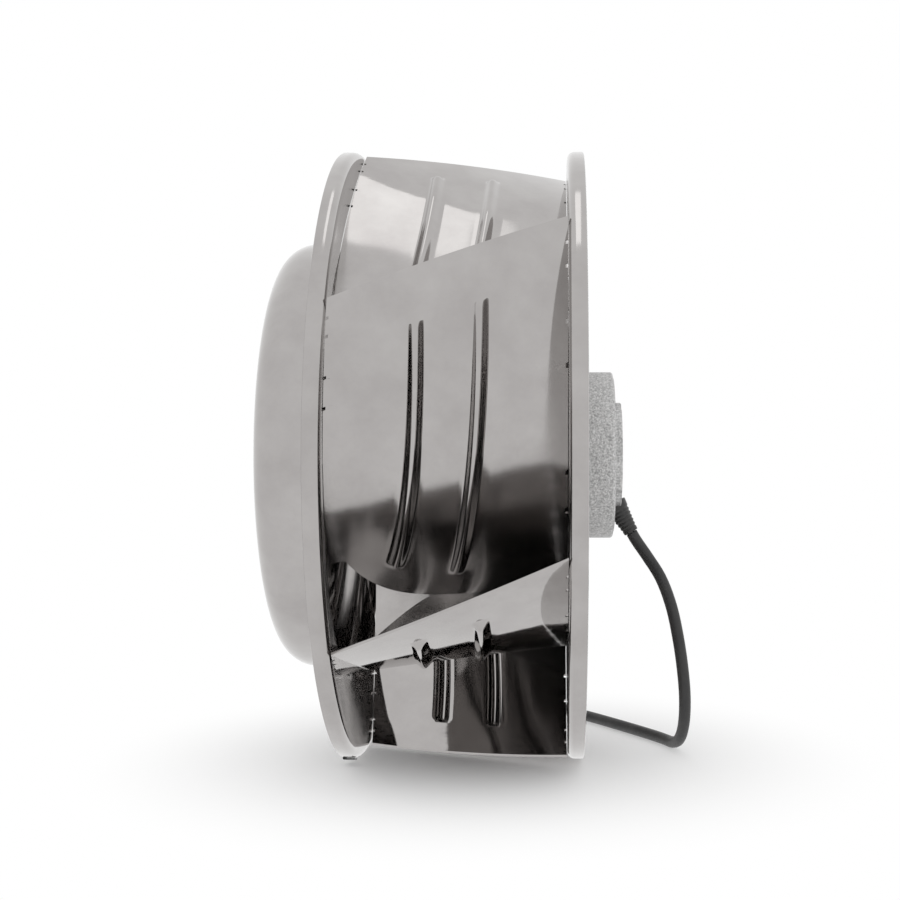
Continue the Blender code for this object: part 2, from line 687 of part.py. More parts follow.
def build_stator_core(parent, looks):
    """Laminated ring with teeth that reach out towards the magnets."""
    pitch = math.tau / TOOTH_COUNT
    tip, neck = core_radius(), core_radius() - TOOTH_TIP
    root = tip - TOOTH_DEPTH
    bore = tube_radius() + SEAT_GAP
    corners = ((-0.30, bore), (0.0, bore), (0.30, bore), (-0.30, root), (0.30, root),
               (-0.24, neck), (0.24, neck), (-0.42, tip), (0.0, tip), (0.42, tip))
    count = len(corners)
    yoke, stem, shoe = (0, 1, 2, 4, 3), (3, 4, 6, 5), (5, 6, 9, 8, 7)
    bridge = (2, count, count + 3, 4)
    outside = ((3, 5), (5, 7), (7, 8), (8, 9), (9, 6), (6, 4), (4, count + 3))
    inside = ((0, 1), (1, 2), (2, count))
    shape = bmesh.new()
    layers = []
    for x in (core_middle_x() - CORE_LENGTH / 2, core_middle_x() + CORE_LENGTH / 2):
        layer = []
        for tooth in range(TOOTH_COUNT):
            for share, radius in corners:
                angle = (tooth + share) * pitch
                layer.append(shape.verts.new((x, radius * math.sin(angle), radius * math.cos(angle))))
        layers.append(layer)
    total = len(layers[0])
    for tooth in range(TOOTH_COUNT):
        first = tooth * count
        for layer in layers:
            for patch in (yoke, stem, shoe, bridge):
                shape.faces.new([layer[(first + corner) % total] for corner in patch])
        for start, end in outside + inside:
            near, far = (first + start) % total, (first + end) % total
            shape.faces.new((layers[0][near], layers[0][far], layers[1][far], layers[1][near]))
    add_object("stator_core", mesh_from("stator_core", shape), looks["lamination"], parent)


def build_windings(parent, looks):
    """End insulators against the core, and the heads of the windings on them."""
    inner = tube_radius() + SEAT_GAP
    outer = core_radius() - TOOTH_TIP
    thick = INSULATOR_THICKNESS
    for name, sign in (("front", -1), ("rear", 1)):
        start = core_middle_x() + sign * (CORE_LENGTH / 2 + SEAT_GAP)
        end = start + sign * thick
        ring = ring_outline(start, end, inner, outer)
        turned_piece(name + "_insulator", ring, 24, looks["insulator"], parent)
        low = end + sign * SEAT_GAP
        high = low + sign * WINDING_HEIGHT
        round_off = WINDING_ROUNDING
        base = inner + WINDING_CLEARANCE
        crown = high - sign * round_off
        outline = [(low, base), (low, outer), (crown, outer), (high, outer - round_off),
                   (high, base + round_off), (crown, base)]
        turned_piece(name + "_winding", outline, 24, looks["copper"], parent)


def build_housing(parent, looks):
    """Die-cast can: the mounting face with its threaded holes, and a scooped seat for the cable gland."""
    rim_x = -FACE_STEP - HOUSING_DEPTH
    wall_x = -FACE_STEP - END_WALL
    chamber = HOUSING_RADIUS - HOUSING_WALL
    bevel = HOUSING_CHAMFER
    outline = [(0.0, 0.0), (0.0, FACE_RADIUS - bevel / 2), (-bevel / 2, FACE_RADIUS),
               (-FACE_STEP, FACE_RADIUS), (-FACE_STEP, HOUSING_RADIUS - bevel),
               (-FACE_STEP - bevel, HOUSING_RADIUS),
               (rim_x, HOUSING_RADIUS), (rim_x, chamber), (wall_x, chamber), (wall_x, 0.0)]
    housing = turned_piece("motor_housing", outline, 40, looks["cast"], parent, closed=False)
    cut_away(housing, hole_cutter("mount_holes", MOUNT_HOLE_COUNT, MOUNT_CIRCLE, -MOUNT_HOLE_DEPTH,
                                  CUT_MARGIN, MOUNT_HOLE_RADIUS))
    pocket = bmesh.new()
    add_cylinder(pocket, GLAND_SEAT, GLAND_DIRECTION, HOUSING_RADIUS, GLAND_BASE_RADIUS + 2 * SEAT_GAP, 16)
    cut_away(housing, add_cutter("gland_pocket", pocket))
    gasket_x = rim_x - SEAT_GAP - GASKET_THICKNESS
    turned_piece("housing_gasket", ring_outline(gasket_x, gasket_x + GASKET_THICKNESS,
                                                chamber + GASKET_INSET, HOUSING_RADIUS - GASKET_INSET),
                 24, looks["rubber"], parent)


def build_board(parent, looks):
    """Ring-shaped control board that stands on the bearing tube's flange, with its capacitors."""
    board_x = tube_flange_x() + BOARD_STANDOFF
    ring = ring_outline(board_x, board_x + BOARD_THICKNESS, BOARD_HOLE_RADIUS, BOARD_RADIUS)
    turned_piece("control_board", ring, 24, looks["board"], parent)
    circle = (BOARD_HOLE_RADIUS + BOARD_RADIUS) / 2
    for index in range(CAPACITOR_COUNT):
        shape = bmesh.new()
        start = circle_place(index, CAPACITOR_COUNT, circle, board_x + BOARD_THICKNESS + SEAT_GAP)
        add_cylinder(shape, start, Vector((1.0, 0.0, 0.0)), CAPACITOR_HEIGHT, CAPACITOR_RADIUS, 10)
        name = "board_capacitor_%d" % (index + 1)
        add_object(name, mesh_from(name, shape), looks["capacitor"], parent)
    add_screws("tube_screw", TUBE_SCREW_COUNT, TUBE_SCREW_CIRCLE, tube_flange_x() + SEAT_GAP,
               TUBE_FLANGE_THICKNESS + 3 * SEAT_GAP, looks["zinc"], parent)


def build_gland(parent, looks):
    """Tapered rubber strain relief in the scooped seat, pointing down and away from the face."""
    shape = bmesh.new()
    start = GLAND_SEAT + GLAND_DIRECTION * SEAT_GAP
    add_cylinder(shape, start, GLAND_DIRECTION, GLAND_LENGTH, GLAND_BASE_RADIUS, 12, GLAND_TIP_RADIUS)
    add_object("strain_relief", mesh_from("strain_relief", shape), looks["rubber"], parent)


def smooth_route(points, spacing):
    """Places at even spacing on a smooth curve through the route's own points."""
    dense = []
    count = len(points)
    for index in range(count - 1):
        before = points[max(index - 1, 0)]
        here, ahead = points[index], points[index + 1]
        beyond = points[min(index + 2, count - 1)]
        for step in range(12):
            t = step / 12
            dense.append(0.5 * (2 * here + (ahead - before) * t
                                + (2 * before - 5 * here + 4 * ahead - beyond) * t * t
                                + (3 * here - before - 3 * ahead + beyond) * t ** 3))
    dense.append(points[-1])
    travelled = [0.0]
    for here, ahead in zip(dense, dense[1:]):
        travelled.append(travelled[-1] + (ahead - here).length)
    steps = max(2, round(travelled[-1] / spacing))
    places = []
    index = 0
    for step in range(steps + 1):
        wanted = travelled[-1] * step / steps
        while index < len(dense) - 2 and travelled[index + 1] < wanted:
            index += 1
        share = (wanted - travelled[index]) / (travelled[index + 1] - travelled[index])
        places.append(dense[index].lerp(dense[index + 1], min(share, 1.0)))
    return places


def add_tube(name, places, radius, look, parent, resolution=2):
    curve = bpy.data.curves.new(name, "CURVE")
    curve.dimensions = "3D"
    curve.bevel_depth = radius
    curve.bevel_resolution = resolution
    curve.use_fill_caps = True
    spline = curve.splines.new("POLY")
    spline.points.add(len(places) - 1)
    for point, place in zip(spline.points, places):
        point.co = (*place, 1.0)
    return add_object(name, curve, look, parent)


def coil_join(angle, leaving):
    """Where the cable meets the coil's side, on a line that runs into its outer turn at an angle."""
    turn = math.radians(angle)
    away = Vector((math.cos(turn), math.sin(turn), 0.0))
    heading = Vector((-math.sin(turn), math.cos(turn), 0.0))
    outer_turn = COIL_RADIUS + CABLE_RADIUS
    clear = COIL_RADIUS + 3 * CABLE_RADIUS + SEAT_GAP - FACET_SAG
    run = math.sqrt(clear ** 2 - outer_turn ** 2)
    middle = Vector((COIL_CENTRE.x, COIL_CENTRE.y, FLOOR_Z + CABLE_RADIUS))
    return middle + away * outer_turn + heading * (run if leaving else -run), heading


def cable_route():
    """Out of the strain relief, down in a loose bow to the floor, and back behind the fan."""
    start = GLAND_SEAT + GLAND_DIRECTION * (GLAND_LENGTH + 3 * SEAT_GAP)
    lie = FLOOR_Z + CABLE_RADIUS
    end, heading = coil_join(COIL_ENTRY_ANGLE, leaving=False)
    points = [start, start + GLAND_DIRECTION * GLAND_LEAD]
    points += [Vector(place) for place in (
        (0.0158, -0.0030, -0.0605), (0.0235, -0.0085, -0.0730), (0.0292, -0.0140, -0.0890),
        (0.0328, -0.0185, -0.1070), (0.0352, -0.0212, -0.1250), (0.0366, -0.0196, -0.1420),
        (0.0366, -0.0125, -0.1580), (0.0350, -0.0005, -0.1695), (0.0314, 0.0130, lie),
        (0.0252, 0.0270, lie), (0.0162, 0.0430, lie), (0.0060, 0.0600, lie), (-0.0052, 0.0780, lie),
        (-0.0170, 0.0960, lie), (-0.0290, 0.1120, lie))]
    return points + [end - heading * COIL_LEAD, end]


def tail_route():
    """The cable's short free end beyond the coil."""
    start, heading = coil_join(COIL_EXIT_ANGLE, leaving=True)
    return [start, start + heading * (TAIL_LENGTH / 2), start + heading * TAIL_LENGTH]


def build_cable(parent, looks):
    step = 2.6 * CABLE_RADIUS
    add_tube("supply_cable", smooth_route(cable_route(), step), CABLE_RADIUS, looks["rubber"], parent)
    add_tube("cable_tail", smooth_route(tail_route(), step), CABLE_RADIUS, looks["rubber"], parent)
    lift = FLOOR_Z + TIE_THICKNESS + SEAT_GAP
    turns = 2 * CABLE_RADIUS
    inner, outer = COIL_RADIUS - turns, COIL_RADIUS + turns
    round_off = CABLE_RADIUS * 0.6
    outline = [(inner, lift + round_off), (inner, lift + 2 * turns - round_off),
               (inner + round_off, lift + 2 * turns), (outer - round_off, lift + 2 * turns),
               (outer, lift + 2 * turns - round_off), (outer, lift + round_off),
               (outer - round_off, lift), (inner + round_off, lift)]
    shape = bmesh.new()
    verts = [shape.verts.new((r, 0.0, z)) for r, z in outline]
    edges = [shape.edges.new(pair) for pair in zip(verts, verts[1:] + verts[:1])]
    bmesh.ops.spin(shape, geom=verts + edges, cent=(0, 0, 0), axis=(0, 0, 1),
                   angle=math.tau, steps=30, use_merge=True)
    coil = add_object("cable_coil", mesh_from("cable_coil", shape), looks["rubber"], parent)
    coil.location = (COIL_CENTRE.x, COIL_CENTRE.y, 0.0)
    build_tie(parent, looks, outline)
    build_lead_ends(parent, looks)


def build_tie(parent, looks, coil_outline):
    """Strap round the coil's turns at one place."""
    shape = bmesh.new()
    radii = [r for r, _ in coil_outline]
    heights = [z for _, z in coil_outline]
    middle = (sum(radii) / len(radii), sum(heights) / len(heights))
    loops = []
    for grow in (SEAT_GAP, SEAT_GAP + TIE_THICKNESS):
        half_r = (max(radii) - min(radii)) / 2 + grow
        half_z = (max(heights) - min(heights)) / 2 + grow
        corners = []
        for sign_r, sign_z in ((-1, -1), (-1, 1), (1, 1), (1, -1)):
            corners.append((middle[0] + sign_r * half_r, middle[1] + sign_z * half_z))
        loops.append(corners)
    rings = []
    for across in (-TIE_WIDTH / 2, TIE_WIDTH / 2):
        rings.append([[shape.verts.new((across, r, z)) for r, z in corners] for corners in loops])
    for corner in range(4):
        after = (corner + 1) % 4
        for side in (0, 1):
            shape.faces.new((rings[side][0][corner], rings[side][0][after],
                             rings[side][1][after], rings[side][1][corner]))
            shape.faces.new((rings[0][side][corner], rings[0][side][after],
                             rings[1][side][after], rings[1][side][corner]))
    tie = add_object("coil_tie", mesh_from("coil_tie", shape), looks["tie"], parent)
    tie.location = (COIL_CENTRE.x, COIL_CENTRE.y, 0.0)


def build_lead_ends(parent, looks):
    """The cable's stripped end: four insulated cores, each with a crimped ferrule."""
    end = tail_route()[-1]
    start = end + Vector((-SEAT_GAP, 0.0, 0.0))
    height = FLOOR_Z + FERRULE_RADIUS + FERRULE_LIFT
    nests = ((-1, -1), (-1, 1), (1, 1), (1, -1))
    for index, (colour, (nest_y, nest_z)) in enumerate(zip(CORE_COLOURS, nests)):
        offset = (index - (len(nests) - 1) / 2) * CORE_SPREAD
        root = start + Vector((0.0, nest_y * CORE_NEST, nest_z * CORE_NEST))
        straight = root + Vector((-CORE_BEND * 0.3, 0.0, 0.0))
        bend = Vector((root.x - CORE_BEND, start.y + offset * 1.2, (root.z + height) / 2))
        tip = Vector((root.x - CORE_LENGTH_BARED, start.y + offset * 2.2, height))
        core = smooth_route([root, straight, bend, tip], CORE_BEND / 2)
        along = core[-1] - core[-2]
        along.z = 0.0
        along.normalize()
        near = tip + along * SEAT_GAP
        add_tube("lead_core_%d" % (index + 1), core, CORE_WIRE_RADIUS, looks["core_" + colour], parent, 1)
        add_tube("lead_ferrule_%d" % (index + 1), [near, near + along * FERRULE_LENGTH], FERRULE_RADIUS,
                 looks["zinc"], parent, 1)


def make_looks():
    return {
        "sheet": finish_material("sheet_aluminium", (0.62, 0.61, 0.60), 0.26, 1.0),
        "cast": finish_material("cast_aluminium", (0.30, 0.30, 0.30), 0.55, 0.8),
        "rotor_black": finish_material("rotor_paint", (0.02, 0.02, 0.022), 0.45, 0.0),
        "spring_black": finish_material("blackened_spring_steel", (0.02, 0.02, 0.02), 0.4, 0.6),
        "zinc": finish_material("zinc_plated_steel", (0.60, 0.60, 0.62), 0.30, 1.0),
        "magnet": finish_material("bonded_magnet", (0.06, 0.06, 0.065), 0.6, 0.1),
        "ground_steel": finish_material("ground_steel", (0.55, 0.55, 0.56), 0.22, 1.0),
        "spring_steel": finish_material("spring_steel", (0.35, 0.35, 0.36), 0.35, 1.0),
        "lamination": finish_material("electrical_steel", (0.25, 0.25, 0.27), 0.5, 0.8),
        "insulator": finish_material("moulded_insulator", (0.75, 0.73, 0.66), 0.5, 0.0),
        "copper": finish_material("enamelled_copper", (0.45, 0.16, 0.06), 0.35, 0.7),
        "board": finish_material("circuit_board", (0.03, 0.16, 0.07), 0.45, 0.0),
        "capacitor": finish_material("capacitor_sleeve", (0.04, 0.05, 0.10), 0.4, 0.0),
        "rubber": finish_material("black_rubber", (0.015, 0.015, 0.016), 0.6, 0.0),
        "tie": finish_material("nylon_tie", (0.02, 0.02, 0.02), 0.4, 0.0),
        "core_brown": finish_material("core_brown", (0.12, 0.05, 0.03), 0.4, 0.0),
        "core_blue": finish_material("core_blue", (0.03, 0.10, 0.40), 0.4, 0.0),
        "core_earth": finish_material("core_earth", (0.22, 0.36, 0.04), 0.4, 0.0),
        "core_grey": finish_material("core_grey", (0.22, 0.22, 0.23), 0.4, 0.0),
    }


def build_fan():
    clear_scene()
    looks = make_looks()
    fixed = add_empty("stator_frame")
    turning = add_empty("impeller_axis")
    build_impeller(turning, looks)
    build_rotor(turning, looks)
    build_bearing("front_bearing", front_bearing_x(), fixed, turning, looks)
    build_bearing("rear_bearing", rear_bearing_x(), fixed, turning, looks)
    build_wave_spring(fixed, looks)
    build_bearing_tube(fixed, looks)
    build_stator_core(fixed, looks)
    build_windings(fixed, looks)
    build_housing(fixed, looks)
    build_board(fixed, looks)
    build_gland(fixed, looks)
    build_cable(fixed, looks)


build_fan()
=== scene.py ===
"""Plug fan: a sheet-metal impeller turned by an external-rotor motor, with its supply cable.

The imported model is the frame. +X points out of the motor's mounting face, the shaft lies along X,
+Z is up, and lengths are in metres. Each section makes one piece or one group of like pieces.
"""

import math

import bmesh
import bpy
from mathutils import Matrix, Vector


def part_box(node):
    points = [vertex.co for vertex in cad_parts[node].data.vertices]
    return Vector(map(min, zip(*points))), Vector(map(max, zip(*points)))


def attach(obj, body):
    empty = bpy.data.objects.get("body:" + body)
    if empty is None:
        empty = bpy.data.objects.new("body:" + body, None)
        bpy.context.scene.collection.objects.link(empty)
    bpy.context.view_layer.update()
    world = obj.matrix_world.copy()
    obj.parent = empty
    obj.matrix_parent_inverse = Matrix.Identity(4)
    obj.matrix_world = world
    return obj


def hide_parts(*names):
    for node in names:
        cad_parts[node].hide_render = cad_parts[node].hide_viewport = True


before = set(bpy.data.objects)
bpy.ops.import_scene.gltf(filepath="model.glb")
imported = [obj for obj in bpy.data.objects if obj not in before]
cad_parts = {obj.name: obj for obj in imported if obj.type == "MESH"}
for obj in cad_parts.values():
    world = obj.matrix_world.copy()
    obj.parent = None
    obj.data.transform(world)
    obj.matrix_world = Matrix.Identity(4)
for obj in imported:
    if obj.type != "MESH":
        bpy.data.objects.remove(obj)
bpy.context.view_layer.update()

# --- Inlet shroud ---
# One pressing of shiny 2 mm aluminium sheet: a rolled rim, a shallow cone that the blades meet, and
# a collar that runs round the inlet ring. It is spun on a former, so its marks run round the shaft.

rim_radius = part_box("back_plate")[1].z
collar_radius = 0.1250
sheet_thickness = 0.0020
back_plate_x = -0.0322
outlet_width = 0.1184
rim_depth = 0.0084
rim_bend = 0.0032
cone_slope = 0.14
collar_reach = 0.0466
throat_fillet = 0.0135
eye_rounding = 0.0180
blade_tip_radius = rim_radius - 0.0014


class Level:
    """A socket in a finish's nodes. Arithmetic on it adds the Math nodes that work it out."""

    def __init__(self, finish, socket):
        self.finish = finish
        self.socket = socket

    def maths(self, operation, *terms):
        return self.finish.node("ShaderNodeMath", {"operation": operation}, dict(enumerate(terms)))

    def worked(self, operation, *others):
        """An operation that has no sign of its own, with this level as its first term."""
        return self.maths(operation, self, *others)

    def __add__(self, other):
        return self.maths("ADD", self, other)

    def __rsub__(self, other):
        return self.maths("SUBTRACT", other, self)

    def __mul__(self, other):
        return self.maths("MULTIPLY", self, other)

    def __truediv__(self, other):
        return self.maths("DIVIDE", self, other)


class Finish:
    """A material whose nodes end in one Principled shader."""

    def __init__(self, name, colour, roughness, metallic):
        self.material = bpy.data.materials.new(name)
        self.material.use_nodes = True
        self.tree = self.material.node_tree
        self.shader = self.tree.nodes["Principled BSDF"]
        self.shader.inputs["Base Color"].default_value = (*colour, 1.0)
        self.shader.inputs["Roughness"].default_value = roughness
        self.shader.inputs["Metallic"].default_value = metallic
        self.material.diffuse_color = (*colour, 1.0)

    def node(self, kind, settings=None, inputs=None, output=0):
        made = self.tree.nodes.new(kind)
        for name, value in (settings or {}).items():
            setattr(made, name, value)
        for name, value in (inputs or {}).items():
            if isinstance(value, Level):
                self.tree.links.new(value.socket, made.inputs[name])
            else:
                made.inputs[name].default_value = value
        return Level(self, made.outputs[output])

    def feed(self, name, level):
        self.tree.links.new(level.socket, self.shader.inputs[name])

    def place(self):
        """The place on the piece, in metres."""
        return self.node("ShaderNodeTexCoord", output="Object")

    def along(self, place, axis):
        return self.node("ShaderNodeSeparateXYZ", inputs={0: place}, output=axis)

    def from_shaft(self, place):
        """The distance from the shaft, with the y and z that it comes from."""
        y, z = self.along(place, "Y"), self.along(place, "Z")
        return (y * y + z * z).worked("SQRT"), y, z

    def noise(self, place, scale, detail=2.0, roughness=0.5):
        return self.node("ShaderNodeTexNoise", {}, {"Vector": place, "Scale": scale, "Detail": detail,
                                                    "Roughness": roughness}, "Fac")

    def ease(self, level, start, end, low=0.0, high=1.0):
        """A soft step from low to high, while the level goes from start to end."""
        return self.node("ShaderNodeMapRange", {"interpolation_type": "SMOOTHSTEP"},
                         {"Value": level, "From Min": start, "From Max": end,
                          "To Min": low, "To Max": high})

    def spread(self, level, low, high):
        """A noise level, spread so that its usual range runs from low to high."""
        return self.node("ShaderNodeMapRange", {}, {"Value": level, "From Min": 0.3, "From Max": 0.7,
                                                    "To Min": low, "To Max": high})

    def blend(self, share, first, second):
        """A colour between two colours."""
        mixed = self.node("ShaderNodeMix", {"data_type": "RGBA"}, {0: share}, 2)
        for index, colour in ((6, first), (7, second)):
            if isinstance(colour, Level):
                self.tree.links.new(colour.socket, mixed.socket.node.inputs[index])
            else:
                mixed.socket.node.inputs[index].default_value = (*colour, 1.0)
        return mixed

    def tint(self, level, dark, light):
        """Colour the surface between two colours by a noise level."""
        self.feed("Base Color", self.blend(self.spread(level, 0.0, 1.0), dark, light))

    def bump(self, height, distance, strength=1.0, under=None):
        inputs = {"Height": height, "Distance": distance, "Strength": strength}
        if under is not None:
            inputs["Normal"] = under
        return self.node("ShaderNodeBump", {}, inputs, "Normal")

    def stretched(self, scales):
        """The place on the piece, with each axis stretched for streaks."""
        return self.node("ShaderNodeVectorMath", {"operation": "MULTIPLY"}, {0: self.place(), 1: scales})


def sheet_finish(name, spun):
    """Mill-finish aluminium: long waves in the sheet, fine tooling lines, faint stains."""
    made = Finish(name, (0.74, 0.725, 0.71), 0.2, 1.0)
    place = made.place()
    away, y, z = made.from_shaft(place)
    stains = made.noise(place, 38.0, 5.0, 0.6)
    made.tint(stains, (0.46, 0.445, 0.436), (0.40, 0.383, 0.376))
    if spun:
        line_density = 60
        inward = made.along(place, "X") * line_density + away * line_density
        line_place = made.node("ShaderNodeCombineXYZ", inputs={0: inward, 1: y / away, 2: z / away})
        lines = made.noise(line_place, 14.0, 4.0, 0.6)
        roughness = made.spread(lines, 0.09, 0.12) + made.spread(stains, 0.0, 0.03)
        waves, wave_height = made.noise(place, 16.0, 1.5), 0.0003
    else:
        lines = made.noise(made.stretched((0.12, 1.0, 1.0)), 900.0, 3.0, 0.6)
        rubbed_from, rubbed_to = 0.152, 0.120
        rubbed = made.ease(away, rubbed_from, rubbed_to, 0.0, 0.13)
        roughness = made.spread(lines, 0.035, 0.06) + made.spread(stains, 0.0, 0.012) + rubbed
        waves, wave_height = made.noise(made.stretched((1.0, 0.22, 0.22)), 27.0, 1.5), 0.0013
    line_height = 0.000003
    made.feed("Roughness", roughness)
    made.feed("Normal", made.bump(lines, line_height, 1.0, made.bump(waves, wave_height)))
    return made.material


def arc_points(centre_x, centre_r, radius, start, end, steps):
    """Points (x, r) on an arc; 0 degrees is along +x and 90 degrees is away from the shaft."""
    points = []
    for step in range(steps + 1):
        angle = math.radians(start + (end - start) * step / steps)
        points.append((centre_x + radius * math.cos(angle), centre_r + radius * math.sin(angle)))
    return points


def skin_outline(path, thickness):
    """A closed outline of even thickness round a line of (x, r) points, with rounded ends."""
    near, far, ends = [], [], []
    corner_pull, corner_reach, tip_reach = 0.25, 0.66, 0.9
    for index, (x, r) in enumerate(path):
        before, after = path[max(index - 1, 0)], path[min(index + 1, len(path) - 1)]
        along = Vector((after[0] - before[0], after[1] - before[1])).normalized()
        side = Vector((-along.y, along.x)) * (thickness / 2)
        near.append((x + side.x, r + side.y))
        far.append((x - side.x, r - side.y))
        if index in (0, len(path) - 1):
            ends.append(along * (thickness / 2) * (1 if index else -1))

    def eased(points, index):
        """The corner next to an end, drawn in towards the middle of the sheet."""
        point, middle, end = Vector(points[index]), Vector(path[index]), ends[index]
        return tuple(point + (middle - point) * corner_pull + end * corner_reach)

    def capped(index):
        return tuple((Vector(near[index]) + Vector(far[index])) / 2 + ends[index] * tip_reach)

    return ([eased(near, 0)] + near + [eased(near, -1), capped(-1), eased(far, -1)]
            + far[::-1] + [eased(far, 0), capped(0)])


def finish_mesh(name, shape, sharp):
    bmesh.ops.remove_doubles(shape, verts=shape.verts, dist=1e-7)
    bmesh.ops.recalc_face_normals(shape, faces=shape.faces)
    made = bpy.data.meshes.new(name)
    shape.to_mesh(made)
    shape.free()
    made.shade_smooth()
    made.set_sharp_from_angle(angle=math.radians(sharp))
    return made


def add_object(name, data):
    made = bpy.data.objects.new(name, data)
    bpy.context.scene.collection.objects.link(made)
    return made


def add_piece(name, mesh, material, body, slot, *nodes):
    """A piece of the dressed part, on its body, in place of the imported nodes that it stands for."""
    made = add_object(name, mesh)
    if not mesh.materials:
        mesh.materials.append(material)
    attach(made, body)
    if nodes:
        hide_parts(*nodes)
    return made


def add_shape(name, shape, material, body, slot, *nodes, sharp=40.0):
    """A piece made of one shape, whose edges are sharp above an angle in degrees."""
    return add_piece(name, finish_mesh(name, shape, sharp), material, body, slot, *nodes)


def turned(outline, segments, closed=True):
    """Turn an (x, r) outline about the shaft. An open outline starts and ends on the shaft."""
    shape = bmesh.new()
    verts = [shape.verts.new((x, 0.0, -r)) for x, r in outline]
    edges = [shape.edges.new(pair) for pair in zip(verts, verts[1:])]
    if closed:
        edges.append(shape.edges.new((verts[-1], verts[0])))
    bmesh.ops.spin(shape, geom=verts + edges, cent=(0, 0, 0), axis=(1, 0, 0),
                   angle=math.tau, steps=segments, use_merge=True)
    return shape


def line_points(start, end, steps):
    """Points between two points, without the two."""
    start, end = Vector(start), Vector(end)
    return [tuple(start + (end - start) * step / steps) for step in range(1, steps)]


def shroud_face_x(radius):
    """The shroud's face towards the blades."""
    return back_plate_x - outlet_width - cone_slope * (blade_tip_radius - radius)


spun_sheet = sheet_finish("spun_aluminium_sheet", spun=True)
middle_radius = rim_radius - sheet_thickness / 2
lean = math.atan(cone_slope)
half_skin = sheet_thickness / 2 / math.cos(lean)
rim_x = shroud_face_x(middle_radius - rim_bend) - half_skin
shroud_path = [(back_plate_x - outlet_width - rim_depth, middle_radius)]
shroud_path += arc_points(rim_x - rim_bend, middle_radius - rim_bend, rim_bend, 90, 0, 8)
collar_line = collar_radius - sheet_thickness / 2
fillet_r = collar_line + throat_fillet
fillet_x = shroud_face_x(fillet_r) - half_skin - throat_fillet / math.cos(lean)
throat = arc_points(fillet_x, fillet_r, throat_fillet, -math.degrees(lean), -90, 14)
shroud_path += line_points(shroud_path[-1], throat[0], 5) + throat
mouth_x = back_plate_x - outlet_width - collar_reach + sheet_thickness / 2
mouth = arc_points(mouth_x + eye_rounding, collar_line - eye_rounding, eye_rounding, 90, 180, 14)
shroud_path += line_points(shroud_path[-1], mouth[0], 3) + mouth
plate_segments = 160
shroud = turned(skin_outline(shroud_path, sheet_thickness), plate_segments)
add_shape("inlet_shroud_skin", shroud, spun_sheet, "impeller", "sheet_aluminium", "inlet_shroud")

# --- Back plate ---
# The flat disc of the impeller, pressed from the same sheet. Its edge is rolled towards the motor, and
# its middle sits on the rotor's flange.

hub_hole = 0.0525
plate_x = back_plate_x + sheet_thickness / 2
plate_path = [(plate_x, hub_hole)]
plate_bend = arc_points(plate_x + rim_bend, middle_radius - rim_bend, rim_bend, 180, 90, 8)
plate_path += line_points(plate_path[-1], plate_bend[0], 14) + plate_bend
plate_path.append((back_plate_x + rim_depth, middle_radius))
plate = turned(skin_outline(plate_path, sheet_thickness), plate_segments)
add_shape("back_plate_skin", plate, spun_sheet, "impeller", "sheet_aluminium", "back_plate")

# --- Blades ---
# Six pressed sheets that lean back from the rotation. Each is stiffened by two beads that stand out
# of its outer side, and is held by tabs through slots in both plates, with a small relief beside each.

blade_count = 6
blade_thickness = 0.0015
tip_angle = 33.0
root_angle = 18.0
ease_radius = 0.1120
shroud_root_radius = 0.1130
hub_root_radius = 0.0900
root_curve = 4
start_angle = 43.7
skew_angle = 17.8
bead_width = 0.0098
bead_height = 0.0032
bead_offsets = (0.0440, 0.0757)
bead_drift = 0.0275
bead_drift_curve = 3.5
bead_start = (0.150, 0.185)
bead_end = (0.855, 0.885)
bead_flat = 0.03
seat_gap = 0.0003
tab_spans = {"back": ((0.09, 0.15), (0.32, 0.42), (0.68, 0.75)), "shroud": ((0.09, 0.15), (0.32, 0.42))}
relief_depth = 0.0013
relief_share = 0.013
relief_slope = 0.0006
row_steps = 56
bead_end_steps = 5
gap_steps = 10
bead_steps = 16
shroud_side_steps = 14


def blade_slope(radius):
    """Tangent of the angle between the blade and the circle round the shaft at a radius."""
    tip, root = math.tan(math.radians(tip_angle)), math.tan(math.radians(root_angle))
    share = (radius - ease_radius) / (blade_tip_radius - ease_radius)
    return root + (tip - root) * max(share, 0.0)


def blade_sweep(radius):
    """How far the blade has turned about the shaft, in radians, between its tip and a radius."""
    tip, root = blade_slope(blade_tip_radius), blade_slope(ease_radius)
    base = root - (tip - root) * ease_radius / (blade_tip_radius - ease_radius)
    outer = max(radius, ease_radius)
    swept = math.log(blade_tip_radius * blade_slope(outer) / (outer * tip)) / base
    if radius < ease_radius:
        swept += math.log(ease_radius / radius) / root
    return swept


def blade_frame(x, radius):
    """Middle point of the blade and its outward normal at one place."""
    share = (back_plate_x - x) / outlet_width
    turn = math.radians(start_angle - skew_angle * share) - blade_sweep(radius)
    away = Vector((0.0, -math.cos(turn), math.sin(turn)))
    around = Vector((0.0, math.sin(turn), math.cos(turn)))
    slope = math.atan(blade_slope(radius))
    normal = away * math.cos(slope) - around * math.sin(slope)
    return Vector((x, 0.0, 0.0)) + away * radius, normal


def blade_radius(x, row_share):
    share = min((back_plate_x - x) / outlet_width, 1.0) ** root_curve
    root = hub_root_radius + (shroud_root_radius - hub_root_radius) * share
    return blade_tip_radius + (root - blade_tip_radius) * row_share


def smooth_step(value, start, end):
    share = min(max((value - start) / (end - start), 0.0), 1.0)
    return share * share * (3 - 2 * share)


